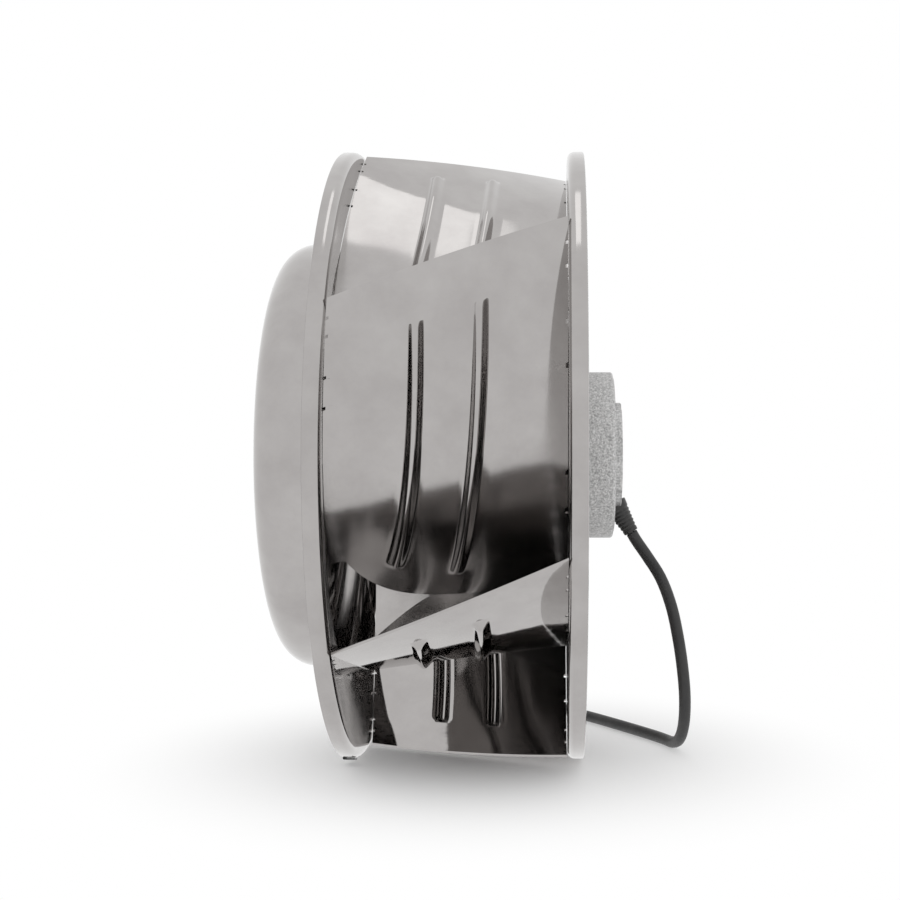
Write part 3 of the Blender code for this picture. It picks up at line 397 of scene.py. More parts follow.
def bead_columns(row_share, cut):
    """Places across the blade at one row, each with the share of the bead's height there."""
    columns = []
    low = back_plate_x - seat_gap - cut["back"]
    for offset in bead_offsets:
        centre = back_plate_x - offset - bead_drift * row_share ** bead_drift_curve
        start = centre + bead_width / 2
        columns += [(low + (start - low) * step / gap_steps, 0.0) for step in range(gap_steps)]
        for step in range(bead_steps + 1):
            side = 0.5 - step / bead_steps
            height = smooth_step(0.5 - abs(side), 0.0, 0.5 - bead_flat)
            columns.append((centre + side * bead_width, height))
        low = centre - bead_width / 2
    far_radius = blade_radius(back_plate_x - outlet_width, row_share)
    far = shroud_face_x(far_radius) + seat_gap + cut["shroud"]
    steps = shroud_side_steps
    return columns + [(low + (far - low) * step / steps, 0.0) for step in range(1, steps + 1)]


def blade_rows():
    """Shares of the way from the tip to the root, with close rows at the reliefs and bead ends."""
    closest = 0.0003
    rows = [step / row_steps for step in range(row_steps + 1)]
    for start, end in tab_spans["back"]:
        for edge in (start - relief_share, start, end, end + relief_share):
            rows += [edge - relief_slope, edge + relief_slope]
    for start, end in (bead_start, bead_end):
        rows += [start + (end - start) * step / bead_end_steps for step in range(bead_end_steps + 1)]
    rows = sorted(share for share in rows if 0 <= share <= 1)
    return rows[:1] + [share for before, share in zip(rows, rows[1:]) if share - before > closest]


def relief(side, row_share):
    """How far the edge is cut back at one row: a small notch at each end of each tab."""
    for start, end in tab_spans[side]:
        if start - relief_share < row_share < start or end < row_share < end + relief_share:
            return relief_depth
    return 0.0


def blade_shape():
    shape = bmesh.new()
    outer, inner = [], []
    for row_share in blade_rows():
        pressed = smooth_step(row_share, *bead_start) * (1 - smooth_step(row_share, *bead_end))
        outer.append([])
        inner.append([])
        cut = {side: relief(side, row_share) for side in tab_spans}
        for x, height in bead_columns(row_share, cut):
            middle, normal = blade_frame(x, blade_radius(x, row_share))
            lift = bead_height * height * pressed
            outer[-1].append(shape.verts.new(middle + normal * (lift + blade_thickness / 2)))
            inner[-1].append(shape.verts.new(middle + normal * (lift - blade_thickness / 2)))
    last = len(outer[0]) - 1
    for row in range(len(outer) - 1):
        for side in (outer, inner):
            for column in range(last):
                shape.faces.new((side[row][column], side[row][column + 1],
                                 side[row + 1][column + 1], side[row + 1][column]))
        for column in (0, last):
            shape.faces.new((outer[row][column], outer[row + 1][column],
                             inner[row + 1][column], inner[row][column]))
    for row in (0, len(outer) - 1):
        for column in range(last):
            shape.faces.new((outer[row][column], outer[row][column + 1],
                             inner[row][column + 1], inner[row][column]))
    return shape


rolled_sheet = sheet_finish("rolled_aluminium_sheet", spun=False)
blade_turns = [Matrix.Rotation(math.tau * index / blade_count, 4, "X") for index in range(blade_count)]
for number, turn in enumerate(blade_turns, 1):
    blade = blade_shape()
    bmesh.ops.transform(blade, matrix=turn, verts=blade.verts)
    add_shape("blade_skin_%d" % number, blade, rolled_sheet, "impeller", "sheet_aluminium",
              "blade_%d" % number, sharp=35.0)

# --- Blade tabs ---
# Each blade's tabs come through slots in the plates and are staked over with a chisel, which leaves a
# low rounded lump with a nick across it on the outer side.

tab_spread = 0.0011
tab_rise = 0.0010
tab_foot = 0.00005
tab_stations = 12
tab_section = ((-1.0, -0.3), (-0.85, 0.6), (-0.45, 0.95), (0.45, 0.95), (0.85, 0.6), (1.0, -0.3))
end_squareness = 6
nick_depth = 0.55
nick_share = 0.07


def bridge(shape, ring, after):
    """Faces all the way round between two rings of corners."""
    for corner in range(len(ring)):
        beyond = (corner + 1) % len(ring)
        shape.faces.new((ring[corner], ring[beyond], after[beyond], after[corner]))


def join_rings(shape, rings):
    """A closed body round a row of rings, with a face over each end."""
    for ring, after in zip(rings, rings[1:]):
        bridge(shape, ring, after)
    shape.faces.new(rings[0])
    shape.faces.new(rings[-1])


def staked_tab(shape, side, span, turn):
    """One staked tab on the outer side of a plate."""
    rings = []
    for station in range(tab_stations + 1):
        share = station / tab_stations
        row_share = span[0] + (span[1] - span[0]) * share
        if side == "back":
            edge_x = back_plate_x
            radius = blade_radius(edge_x, row_share)
            base_x, outward = back_plate_x + sheet_thickness, 1.0
        else:
            radius = blade_radius(back_plate_x - outlet_width, row_share)
            edge_x = shroud_face_x(radius)
            base_x, outward = edge_x - 2 * half_skin, -1.0
        middle, normal = blade_frame(edge_x, radius)
        ends = math.sqrt(max(1 - (2 * share - 1) ** end_squareness, 0.0))
        nick = 1 - nick_depth * math.exp(-((share - 0.5) / nick_share) ** 2)
        height = tab_rise * ends * nick + tab_foot
        width = tab_spread * (0.6 + 0.4 * ends)
        ring = []
        for across, lift in tab_section:
            point = middle + normal * (width * across)
            point.x = base_x + outward * height * lift
            ring.append(shape.verts.new(turn @ point))
        rings.append(ring)
    join_rings(shape, rings)


for side, spans in tab_spans.items():
    tabs = bmesh.new()
    for turn in blade_turns:
        for span in spans:
            staked_tab(tabs, side, span, turn)
    add_shape("staked_tabs_" + side, tabs, rolled_sheet, "impeller", "sheet_aluminium", sharp=50.0)

# --- Balance clip ---
# A folded clip of blackened spring steel, pushed over the free edge of the shroud's rim to balance
# the impeller.

clip_angle = -78.0
clip_length = 0.0110
clip_width = 0.0068
clip_leg = 0.0038
clip_wall = 0.0008
clip_steps = 12

black_steel = Finish("blackened_spring_steel", (0.02, 0.02, 0.02), 0.4, 0.7)
steel_wear = black_steel.noise(black_steel.place(), 700.0, 4.0)
black_steel.tint(steel_wear, (0.012, 0.012, 0.013), (0.05, 0.05, 0.052))
black_steel.feed("Roughness", black_steel.spread(steel_wear, 0.32, 0.5))

clip_edge_x = back_plate_x - outlet_width - rim_depth
clip_left = clip_edge_x - seat_gap
clip_right = clip_edge_x + clip_width - clip_wall - seat_gap
clip_end = clip_left + clip_leg
back_left = clip_left - clip_wall
clip_outer = rim_radius + seat_gap
clip_inner = rim_radius - sheet_thickness - seat_gap
clip_top = clip_outer + clip_wall
clip_bottom = clip_inner - clip_wall
fold = clip_wall * 0.6
clip_profile = ((clip_right, clip_outer), (clip_left, clip_outer), (clip_left, clip_inner),
                (clip_end, clip_inner), (clip_end, clip_bottom), (back_left + fold, clip_bottom),
                (back_left, clip_bottom + fold), (back_left, clip_top - fold),
                (back_left + fold, clip_top), (clip_right, clip_top))
clip_spread = math.degrees(clip_length / rim_radius)
clip_shape = bmesh.new()
clip_rings = []
for step in range(clip_steps + 1):
    angle = math.radians(clip_angle + clip_spread * (step / clip_steps - 0.5))
    y_share, z_share = -math.cos(angle), math.sin(angle)
    clip_rings.append([clip_shape.verts.new((x, r * y_share, r * z_share)) for x, r in clip_profile])
join_rings(clip_shape, clip_rings)
add_shape("balance_clip_spring", clip_shape, black_steel.material, "impeller", "clip_black",
          "balance_clip")

# --- Motor housing ---
# A sand-blasted aluminium die casting that closes the motor behind the back plate. It steps down to
# the round mounting face with its four blind threaded holes, and its edge has shallow scallops.

housing_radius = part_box("motor_housing")[1].z
face_radius = housing_radius - 0.0182
face_step = 0.0051
housing_depth = 0.0224
housing_wall = 0.0035
end_wall = 0.0079
housing_edge = 0.0016
mount_circle = face_radius - 0.0092
mount_hole_radius = 0.0026
mount_hole_depth = 0.0090
mount_holes = 4
sink = 0.0006
scallop_count = 6
scallop_radius = 0.0085
scallop_circle = face_radius + 0.0062
scallop_start = 81.0
groove_insets = (0.0030, 0.0036, 0.0054, 0.0060)
groove_depth = 0.0006
step_rounding = 0.0008

cast = Finish("blasted_die_casting", (0.42, 0.42, 0.42), 0.5, 0.8)
cast_grain = cast.noise(cast.place(), 900.0, 4.0, 0.65)
cast_cloud = cast.noise(cast.place(), 75.0, 3.0)
cast.tint(cast_grain, (0.27, 0.27, 0.27), (0.76, 0.755, 0.75))
cast.feed("Roughness", cast.spread(cast_grain, 0.50, 0.34) + cast.spread(cast_cloud, 0.0, 0.08))
cast.feed("Normal", cast.bump(cast_grain, 0.00035, 0.8))

rim_end_x = -face_step - housing_depth
wall_x = -face_step - end_wall
chamber = housing_radius - housing_wall
face_edge = housing_edge / 2
rim_chamfer = 0.0005
groove_x = groove_depth - face_step
housing_outline = [(0.0, 0.0), (0.0, 0.0120)]
housing_outline += arc_points(-face_edge, face_radius - face_edge, face_edge, 0, 90, 4)
housing_outline += [
    (step_rounding - face_step, face_radius), (-face_step, face_radius + step_rounding),
    (-face_step, housing_radius - groove_insets[3]), (groove_x, housing_radius - groove_insets[2]),
    (groove_x, housing_radius - groove_insets[1]), (-face_step, housing_radius - groove_insets[0])]
housing_outline += arc_points(-face_step - housing_edge, housing_radius - housing_edge,
                              housing_edge, 0, 90, 5)
housing_outline += [
    (rim_end_x + rim_chamfer, housing_radius), (rim_end_x, housing_radius - rim_chamfer),
    (rim_end_x, chamber), (wall_x, chamber), (wall_x, 0.0)]
housing_mesh = finish_mesh("motor_housing_casting", turned(housing_outline, 120, closed=False), 35.0)


def cut_mesh(mesh, **shapes):
    """A mesh with each of the shapes cut out of it. The shapes are used up."""
    blank = add_object(mesh.name + "_blank", mesh)
    tools = [add_object(name, finish_mesh(name, shape, 40.0)) for name, shape in shapes.items()]
    for tool in tools:
        cut = blank.modifiers.new(tool.name, "BOOLEAN")
        cut.operation = "DIFFERENCE"
        cut.solver = "EXACT"
        cut.object = tool
    solved = blank.evaluated_get(bpy.context.evaluated_depsgraph_get())
    result = bpy.data.meshes.new_from_object(solved)
    for used in [blank] + tools:
        bpy.data.objects.remove(used, do_unlink=True)
    result.name = mesh.name
    result.shade_smooth()
    result.set_sharp_from_angle(angle=math.radians(35))
    return result


def drill(shape, place, direction, depth, radius, segments=24):
    """A cylinder from a place in one direction."""
    turn = direction.to_track_quat("Z", "Y").to_matrix().to_4x4()
    middle = Matrix.Translation(place + direction * (depth / 2))
    bmesh.ops.create_cone(shape, cap_ends=True, segments=segments, radius1=radius, radius2=radius,
                          depth=depth, matrix=middle @ turn)


out_of_face = Vector((1.0, 0.0, 0.0))
gland_seat = Vector((-0.0040, 0.0, -0.0285))
gland_direction = Vector((0.51, 0.0, -0.86)).normalized()
gland_base_radius = 0.0072
holes, sinks, scallops, pocket = (bmesh.new() for tool in range(4))
for index in range(mount_holes):
    angle = math.tau * index / mount_holes + math.pi / 4
    spot = Vector((-mount_hole_depth, mount_circle * math.sin(angle), mount_circle * math.cos(angle)))
    drill(holes, spot, out_of_face, mount_hole_depth + 0.002, mount_hole_radius)
    sink_start = spot + out_of_face * (mount_hole_depth - sink)
    drill(sinks, sink_start, out_of_face, 0.003, mount_hole_radius + sink)
for index in range(scallop_count):
    angle = math.radians(scallop_start) + math.tau * index / scallop_count
    spot = Vector((groove_x, -scallop_circle * math.sin(angle), scallop_circle * math.cos(angle)))
    drill(scallops, spot, out_of_face, 0.01, scallop_radius, 28)
drill(pocket, gland_seat, gland_direction, housing_radius, gland_base_radius + 2 * seat_gap, 32)
housing_mesh = cut_mesh(housing_mesh, mount_holes=holes, sinks=sinks, scallops=scallops,
                        gland_pocket=pocket)
add_piece("motor_housing_casting", housing_mesh, cast.material, "stator", "cast_aluminium",
          "motor_housing")

# --- Rotor cup ---
# The black-painted steel cup that turns round the stator. Its flange carries the back plate, and its
# front wall, with a low round boss on the shaft, faces the inlet.

rotor_radius = 0.0580
rotor_wall = 0.0040
rotor_length = 0.0660
rotor_front_wall = 0.0050
rotor_rounding = 0.0060
nose_radius = 0.0220
nose_rise = 0.0012
rotor_flange_radius = rotor_radius + 0.0130
rotor_flange_thickness = 0.0030
shaft_radius = 0.0050
boss_reach = 0.0040
boss_wall = 0.0022
boss_foot = 0.0020
cup_chamfer = 0.0004
cup_groove = (0.0399, 0.0405, 0.0420)
cup_groove_depth = 0.0006
flange_fillet = 0.0010

rotor_paint = Finish("black_rotor_paint", (0.02, 0.02, 0.021), 0.4, 0.0)
paint_dust = rotor_paint.noise(rotor_paint.place(), 45.0, 5.0)
rotor_paint.tint(paint_dust, (0.016, 0.016, 0.017), (0.034, 0.033, 0.032))
rotor_paint.feed("Roughness", rotor_paint.spread(paint_dust, 0.34, 0.46))
rotor_paint.feed("Normal", rotor_paint.bump(rotor_paint.noise(rotor_paint.place(), 520.0), 0.00006))

rotor_back = back_plate_x - seat_gap
rotor_front = rotor_back - rotor_length
rotor_inner = rotor_radius - rotor_wall
inner_front = rotor_front + rotor_front_wall
boss_radius = shaft_radius + boss_wall
shaft_hole = shaft_radius + seat_gap
flange_front = rotor_back - rotor_flange_thickness
flange_edge = rotor_flange_radius - cup_chamfer
groove_floor = rotor_front + cup_groove_depth
nose_front = rotor_front - nose_rise
cup_outline = [
    (inner_front + boss_reach, shaft_hole), (inner_front + boss_reach, boss_radius),
    (inner_front, boss_radius + boss_foot), (inner_front, rotor_inner), (rotor_back, rotor_inner),
    (rotor_back, flange_edge), (rotor_back - cup_chamfer, rotor_flange_radius),
    (flange_front + cup_chamfer, rotor_flange_radius), (flange_front, flange_edge),
    (flange_front, rotor_radius + flange_fillet), (flange_front - flange_fillet, rotor_radius)]
cup_outline += arc_points(rotor_front + rotor_rounding, rotor_radius - rotor_rounding,
                          rotor_rounding, 90, 180, 10)
cup_outline += [
    (groove_floor, cup_groove[2]), (groove_floor, cup_groove[1]), (rotor_front, cup_groove[0]),
    (rotor_front, nose_radius), (rotor_front - nose_rise * 0.6, nose_radius - nose_rise),
    (nose_front, nose_radius - 2 * nose_rise), (nose_front, shaft_hole)]
add_shape("rotor_cup_turned", turned(cup_outline, 112), rotor_paint.material, "impeller", "rotor_paint",
          "rotor_cup", sharp=35.0)

# --- Rotor screws ---
# Six zinc-plated pan-head screws with a six-lobe recess, which clamp the back plate to the cup's flange.

screw_count = 6
screw_circle = rotor_radius + 0.0060
screw_radius = 0.0020
head_radius = 0.0038
head_height = 0.0022
screw_point = 0.0006
head_chamfer = 0.0002
screw_grip = sheet_thickness + rotor_flange_thickness + 3 * seat_gap

zinc = Finish("zinc_plate", (0.68, 0.68, 0.70), 0.28, 1.0)
zinc_stain = zinc.noise(zinc.place(), 420.0, 3.0)
zinc.tint(zinc_stain, (0.60, 0.60, 0.62), (0.76, 0.75, 0.74))
zinc.feed("Roughness", zinc.spread(zinc_stain, 0.22, 0.38))


def screw_shape():
    """A pan-head screw along X, with its head's underside at the origin."""
    recess_floor = head_height * 0.45
    recess_radius = head_radius * 0.40
    lobes, lobe_rise = 6, 0.14
    turns = [math.tau * side / 48 for side in range(48)]
    body = [(-screw_grip, screw_radius * 0.7, 0), (-screw_grip + screw_point, screw_radius, 0),
            (0.0, screw_radius, 0), (0.0, head_radius - head_chamfer, 0), (head_chamfer, head_radius, 0),
            (head_height * 0.45, head_radius, 0), (head_height * 0.75, head_radius * 0.90, 0),
            (head_height * 0.93, head_radius * 0.72, 0), (head_height, head_radius * 0.56, 0),
            (head_height, recess_radius, lobe_rise), (recess_floor, recess_radius, lobe_rise)]
    shape = bmesh.new()
    rings = []
    for x, radius, rise in body:
        reaches = [(turn, radius * (1 + rise * math.cos(lobes * turn))) for turn in turns]
        rings.append([shape.verts.new((x, reach * math.sin(turn), reach * math.cos(turn)))
                      for turn, reach in reaches])
    join_rings(shape, rings)
    return shape


for index in range(screw_count):
    angle = math.tau * index / screw_count + math.pi / 6
    place = Vector((back_plate_x + sheet_thickness + seat_gap,
                    screw_circle * math.sin(angle), screw_circle * math.cos(angle)))
    left_at = Matrix.Rotation(0.7 * index, 4, "X")
    screw = screw_shape()
    bmesh.ops.transform(screw, matrix=Matrix.Translation(place) @ left_at, verts=screw.verts)
    add_shape("flange_screw_%d" % (index + 1), screw, zinc.material, "impeller", "zinc_steel",
              "rotor_screw_%d" % (index + 1), sharp=30.0)

# --- Motor's inner pieces ---
# The external-rotor motor's parts behind the cup and the housing: magnets, shaft, bearings, laminated
# core with its windings, and the ring-shaped control board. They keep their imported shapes.


def dress(node, finish):
    """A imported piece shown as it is, with a detailed material."""
    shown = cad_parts[node]
    materials = shown.data.materials
    for index in range(len(materials)):
        materials[index] = finish.material
    if not materials:
        materials.append(finish.material)


def plain_finish(name, dark, light, roughness, metallic, scale, relief=0.0):
    """A finish whose tone and gloss vary with a fine grain."""
    made = Finish(name, light, roughness, metallic)
    grain = made.noise(made.place(), scale, 4.0, 0.6)
    cloud = made.noise(made.place(), scale / 9, 3.0)
    tone = made.spread(grain, 0.0, 0.6) + made.spread(cloud, 0.0, 0.4)
    made.feed("Base Color", made.blend(tone, dark, light))
    made.feed("Roughness", made.spread(cloud, roughness * 0.85, roughness * 1.2))
    if relief:
        made.feed("Normal", made.bump(grain, relief))
    return made


magnet_black, ground, tempered, cream_nylon, solder_mask, sleeve = (plain_finish(*terms) for terms in (
    ("bonded_magnet", (0.05, 0.05, 0.053), (0.10, 0.10, 0.105), 0.6, 0.1, 800.0, 0.0001),
    ("ground_steel", (0.52, 0.52, 0.54), (0.72, 0.72, 0.73), 0.22, 1.0, 500.0),
    ("tempered_spring_steel", (0.28, 0.27, 0.28), (0.46, 0.45, 0.46), 0.32, 1.0, 600.0),
    ("moulded_insulator", (0.72, 0.69, 0.61), (0.86, 0.84, 0.78), 0.5, 0.0, 240.0, 0.00006),
    ("coated_circuit_board", (0.025, 0.15, 0.06), (0.06, 0.28, 0.13), 0.4, 0.0, 420.0, 0.00005),
    ("capacitor_sleeve", (0.03, 0.035, 0.09), (0.07, 0.08, 0.16), 0.35, 0.0, 300.0)))

lamination = plain_finish("electrical_steel", (0.2, 0.2, 0.22), (0.34, 0.34, 0.36), 0.45, 0.85, 400.0)
sheet_stack = lamination.node("ShaderNodeTexWave", {"bands_direction": "X"},
                              {"Vector": lamination.place(), "Scale": 320.0}, "Fac")
lamination.feed("Normal", lamination.bump(sheet_stack, 0.00012))

copper = plain_finish("enamelled_copper", (0.42, 0.14, 0.05), (0.66, 0.28, 0.12), 0.3, 0.8, 300.0)
wire_rows = (copper.from_shaft(copper.place())[0] * 7500.0).worked("SINE")
copper.feed("Normal", copper.bump(wire_rows, 0.0002))

for finish, slot, nodes in (
        (magnet_black, "magnet", "rotor_magnets"),
        (ground, "ground_steel", "motor_shaft front_bearing_inner_race rear_bearing_inner_race "
                                 "front_bearing_outer_race rear_bearing_outer_race "
                                 "front_bearing_ball_cage rear_bearing_ball_cage"),
        (tempered, "spring_steel", "shaft_circlip wave_spring"),
        (cast, "cast_aluminium", "bearing_tube"),
        (lamination, "lamination", "stator_core"),
        (cream_nylon, "insulator", "front_insulator rear_insulator"),
        (copper, "copper", "front_winding rear_winding"),
        (solder_mask, "circuit_board", "control_board"),
        (sleeve, "capacitor", "board_capacitor_1 board_capacitor_2"),
        (zinc, "zinc_steel", "tube_screw_1 tube_screw_2 tube_screw_3 tube_screw_4")):
    for node in nodes.split():
        dress(node, finish)

# --- Supply cable ---
# A round black rubber-jacketed lead of 6.9 mm. It leaves the strain relief downwards, bows to the
# floor and runs back beside the fan. Its spare length is wound in a coil behind, ready to be wired.

cable_radius = 0.00345
lie_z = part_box("supply_cable")[0].z + cable_radius
gland_length = 0.0200
gland_lead = 0.0060
coil_centre = Vector((-0.100, 0.142))
coil_radius = 0.0380
coil_entry_angle = 33.0
coil_lead = 0.0120
coil_turn_steps = 24
lane_change = (0.76, 0.96)
tail_length = 0.0180
tail_fall_start = 0.0115
tail_steps = 12
facet_sag = 0.0007
layer_lift = 0.0013
outer_lane = coil_radius + cable_radius
inner_lane = coil_radius - cable_radius
clear_radius = coil_radius + 3 * cable_radius + seat_gap - facet_sag
straight_run = math.sqrt(clear_radius ** 2 - outer_lane ** 2)


def cable_points():
    """The free run from the strain relief to the coil."""
    start = gland_seat + gland_direction * (gland_length + 3 * seat_gap)
    turn = math.radians(coil_entry_angle)
    away = Vector((math.cos(turn), math.sin(turn), 0.0))
    forward = Vector((-math.sin(turn), math.cos(turn), 0.0))
    end = Vector((*coil_centre, lie_z)) + away * outer_lane - forward * straight_run
    points = [start, start + gland_direction * gland_lead]
    points += [Vector(place) for place in (
        (0.0158, -0.0030, -0.0605), (0.0235, -0.0085, -0.0730), (0.0292, -0.0140, -0.0890),
        (0.0328, -0.0185, -0.1070), (0.0352, -0.0212, -0.1250), (0.0366, -0.0196, -0.1420),
        (0.0366, -0.0125, -0.1580), (0.0350, -0.0005, -0.1695), (0.0314, 0.0130, lie_z),
        (0.0252, 0.0270, lie_z), (0.0162, 0.0430, lie_z), (0.0060, 0.0600, lie_z),
        (-0.0052, 0.0780, lie_z), (-0.0170, 0.0960, lie_z), (-0.0290, 0.1120, lie_z))]
    return points + [end - forward * coil_lead, end]


def coil_points(first_turn):
    """Two turns side by side, one on top of the inner one, and the start of a fourth."""
    lanes = ((outer_lane, 0), (inner_lane, 0), (inner_lane, 1), (outer_lane, 1))
    whole_turn = [step / coil_turn_steps for step in range(coil_turn_steps)]
    last = (90.0 - first_turn) / 360
    last_steps = round(coil_turn_steps * last)
    last_turn = [last * step / last_steps for step in range(last_steps + 1)]
    points = []
    for lane, after, stations in zip(lanes, lanes[1:] + lanes[-1:], [whole_turn] * 3 + [last_turn]):
        for turned_by in stations:
            shift = smooth_step(turned_by, *lane_change)
            angle = math.radians(first_turn + 360.0 * turned_by)
            radius, layer = (here + (there - here) * shift for here, there in zip(lane, after))
            points.append(Vector((coil_centre.x + radius * math.cos(angle),
                                  coil_centre.y + radius * math.sin(angle),
                                  lie_z + layer_lift + 2 * cable_radius * layer)))
    return points


def tail_points():
    """The free end, which runs straight off the coil's top turn and comes down to the floor."""
    top = lie_z + layer_lift + 2 * cable_radius
    reach = straight_run + tail_length
    points = []
    for step in range(1, tail_steps + 1):
        along = reach * step / tail_steps
        share = max((along - tail_fall_start) / (reach - tail_fall_start), 0.0)
        fall = 2 * share ** 2 if share < 0.5 else 1 - 2 * (1 - share) ** 2
        points.append(Vector((coil_centre.x - along, coil_centre.y + outer_lane,
                              top + (lie_z - top) * fall)))
    return points


def add_curve(name, points, radius, material, body, slot, *nodes):
    """A round wire through the points, with closed ends."""
    data = bpy.data.curves.new(name, "CURVE")
    data.dimensions = "3D"
    data.bevel_depth = radius
    data.bevel_resolution = 6
    data.use_fill_caps = True
    spline = data.splines.new("POLY")
    spline.points.add(len(points) - 1)
    for point, place in zip(spline.points, points):
        point.co = (*place, 1.0)
    return add_piece(name, data, material, body, slot, *nodes)


def smooth_route(points, spacing):
    """Places at even spacing on a smooth curve through the route's own points."""
    dense = []
    between = 12
    for index, (here, ahead) in enumerate(zip(points, points[1:])):
        before = points[max(index - 1, 0)]
        beyond = points[min(index + 2, len(points) - 1)]
        for step in range(between):
            t = step / between
            dense.append(0.5 * (2 * here + (ahead - before) * t
                                + (2 * before - 5 * here + 4 * ahead - beyond) * t * t
                                + (3 * here - before - 3 * ahead + beyond) * t ** 3))
    dense.append(points[-1])
    travelled = [0.0]
    for here, ahead in zip(dense, dense[1:]):
        travelled.append(travelled[-1] + (ahead - here).length)
    steps = max(2, round(travelled[-1] / spacing))
    places = []
    index = 0
    for step in range(steps + 1):
        wanted = travelled[-1] * step / steps
        while index < len(dense) - 2 and travelled[index + 1] < wanted:
            index += 1
        share = (wanted - travelled[index]) / (travelled[index + 1] - travelled[index])
        places.append(dense[index].lerp(dense[index + 1], min(share, 1.0)))
    return places


def route_length(points):
    return sum((after - before).length for before, after in zip(points, points[1:]))


rubber = Finish("rubber_jacket", (0.022, 0.022, 0.023), 0.55, 0.0)
rubber_grain = rubber.noise(rubber.place(), 900.0, 3.0)
rubber.tint(rubber.noise(rubber.place(), 60.0, 4.0), (0.018, 0.018, 0.019), (0.04, 0.039, 0.038))
rubber.feed("Roughness", rubber.spread(rubber_grain, 0.42, 0.58))
rubber.feed("Normal", rubber.bump(rubber_grain, 0.00008))

route = cable_points() + coil_points(coil_entry_angle + 14.0) + tail_points()
route_spacing = 0.004
places = smooth_route(route, route_spacing)
for place in places:
    place.z = max(place.z, lie_z)
cable = add_curve("supply_lead", places, cable_radius, rubber.material, "stator", "cable_rubber",
                  "supply_cable", "cable_coil", "cable_tail")

# --- Strain relief ---
# A tapered rubber sleeve moulded on the lead, with shallow ribs across it so that it bends without
# kinking. It sits in the scooped corner of the housing.

gland_tip_radius = 0.0043
gland_ribs = 6
rib_groove = 0.0005
rib_start, rib_end = 0.22, 0.92
gland_steps = 60
gland_rounding = 0.0006
mouth_clearance = 0.0001
gland_end = seat_gap + gland_length


def aim_shape(shape, place, direction):
    """Swing a shape that lies along X into a direction, and move its origin to a place."""
    swing = Vector((1.0, 0.0, 0.0)).rotation_difference(direction).to_matrix().to_4x4()
    bmesh.ops.transform(shape, matrix=Matrix.Translation(place) @ swing, verts=shape.verts)


gland_outline = [(seat_gap, 0.0), (seat_gap, gland_base_radius - gland_rounding)]
for station in range(1, gland_steps + 1):
    share = station / gland_steps
    taper = gland_base_radius + (gland_tip_radius - gland_base_radius) * share
    rib_share = (share - rib_start) / (rib_end - rib_start)
    wave = 0.5 - 0.5 * math.cos(math.tau * gland_ribs * rib_share)
    depth = rib_groove * wave if 0 < rib_share < 1 else 0.0
    gland_outline.append((seat_gap + gland_length * share, taper - depth))
gland_outline += [(gland_end, cable_radius + mouth_clearance), (gland_end - 0.004, 0.0)]
gland_shape = turned(gland_outline, 48, closed=False)
aim_shape(gland_shape, gland_seat, gland_direction)
sleeve_rubber = plain_finish("strain_relief_rubber", (0.014, 0.014, 0.014), (0.034, 0.032, 0.031),
                             0.42, 0.0, 700.0, 0.00008)
gland = add_shape("strain_relief_sleeve", gland_shape, sleeve_rubber.material, "stator",
                  "cable_rubber", "strain_relief", sharp=50.0)
dress("housing_gasket", sleeve_rubber)

# --- Lead's bare end and tie ---
# The jacket is stripped back from four insulated cores, each with a crimped ferrule. A nylon tie
# holds the coil.

core_radius = 0.0011
core_nest = 0.0013
core_spread = 0.0026
core_bend = 0.0080
core_bared = 0.0200
ferrule_radius = 0.0014
ferrule_length = 0.0080
ferrule_lift = 0.0002
ferrule_outline = ((0.0, 0.0), (0.0, 1.0), (0.0022, 1.0), (0.0023, 0.62),
                   (ferrule_length - 0.0006, 0.62), (ferrule_length, 0.55), (ferrule_length, 0.0))
tip_height = lie_z - cable_radius + ferrule_radius + ferrule_lift
green, yellow = (0.05, 0.26, 0.07), (0.72, 0.62, 0.05)
core_colours = {"brown": ((0.16, 0.065, 0.03), (0.24, 0.10, 0.05)),
                "blue": ((0.03, 0.12, 0.40), (0.06, 0.18, 0.52)), "earth": (green, green),
                "grey": ((0.26, 0.26, 0.27), (0.36, 0.36, 0.37))}
nest = ((-1, -1), (-1, 1), (1, 1), (1, -1))
tie_nylon = plain_finish("tie_nylon", (0.022, 0.022, 0.022), (0.045, 0.045, 0.045),
                         0.4, 0.0, 500.0, 0.00005)
tin = plain_finish("tinned_copper", (0.55, 0.55, 0.56), (0.74, 0.74, 0.75), 0.3, 1.0, 700.0)
core_start = tail_points()[-1] + Vector((-seat_gap, 0.0, 0.0))
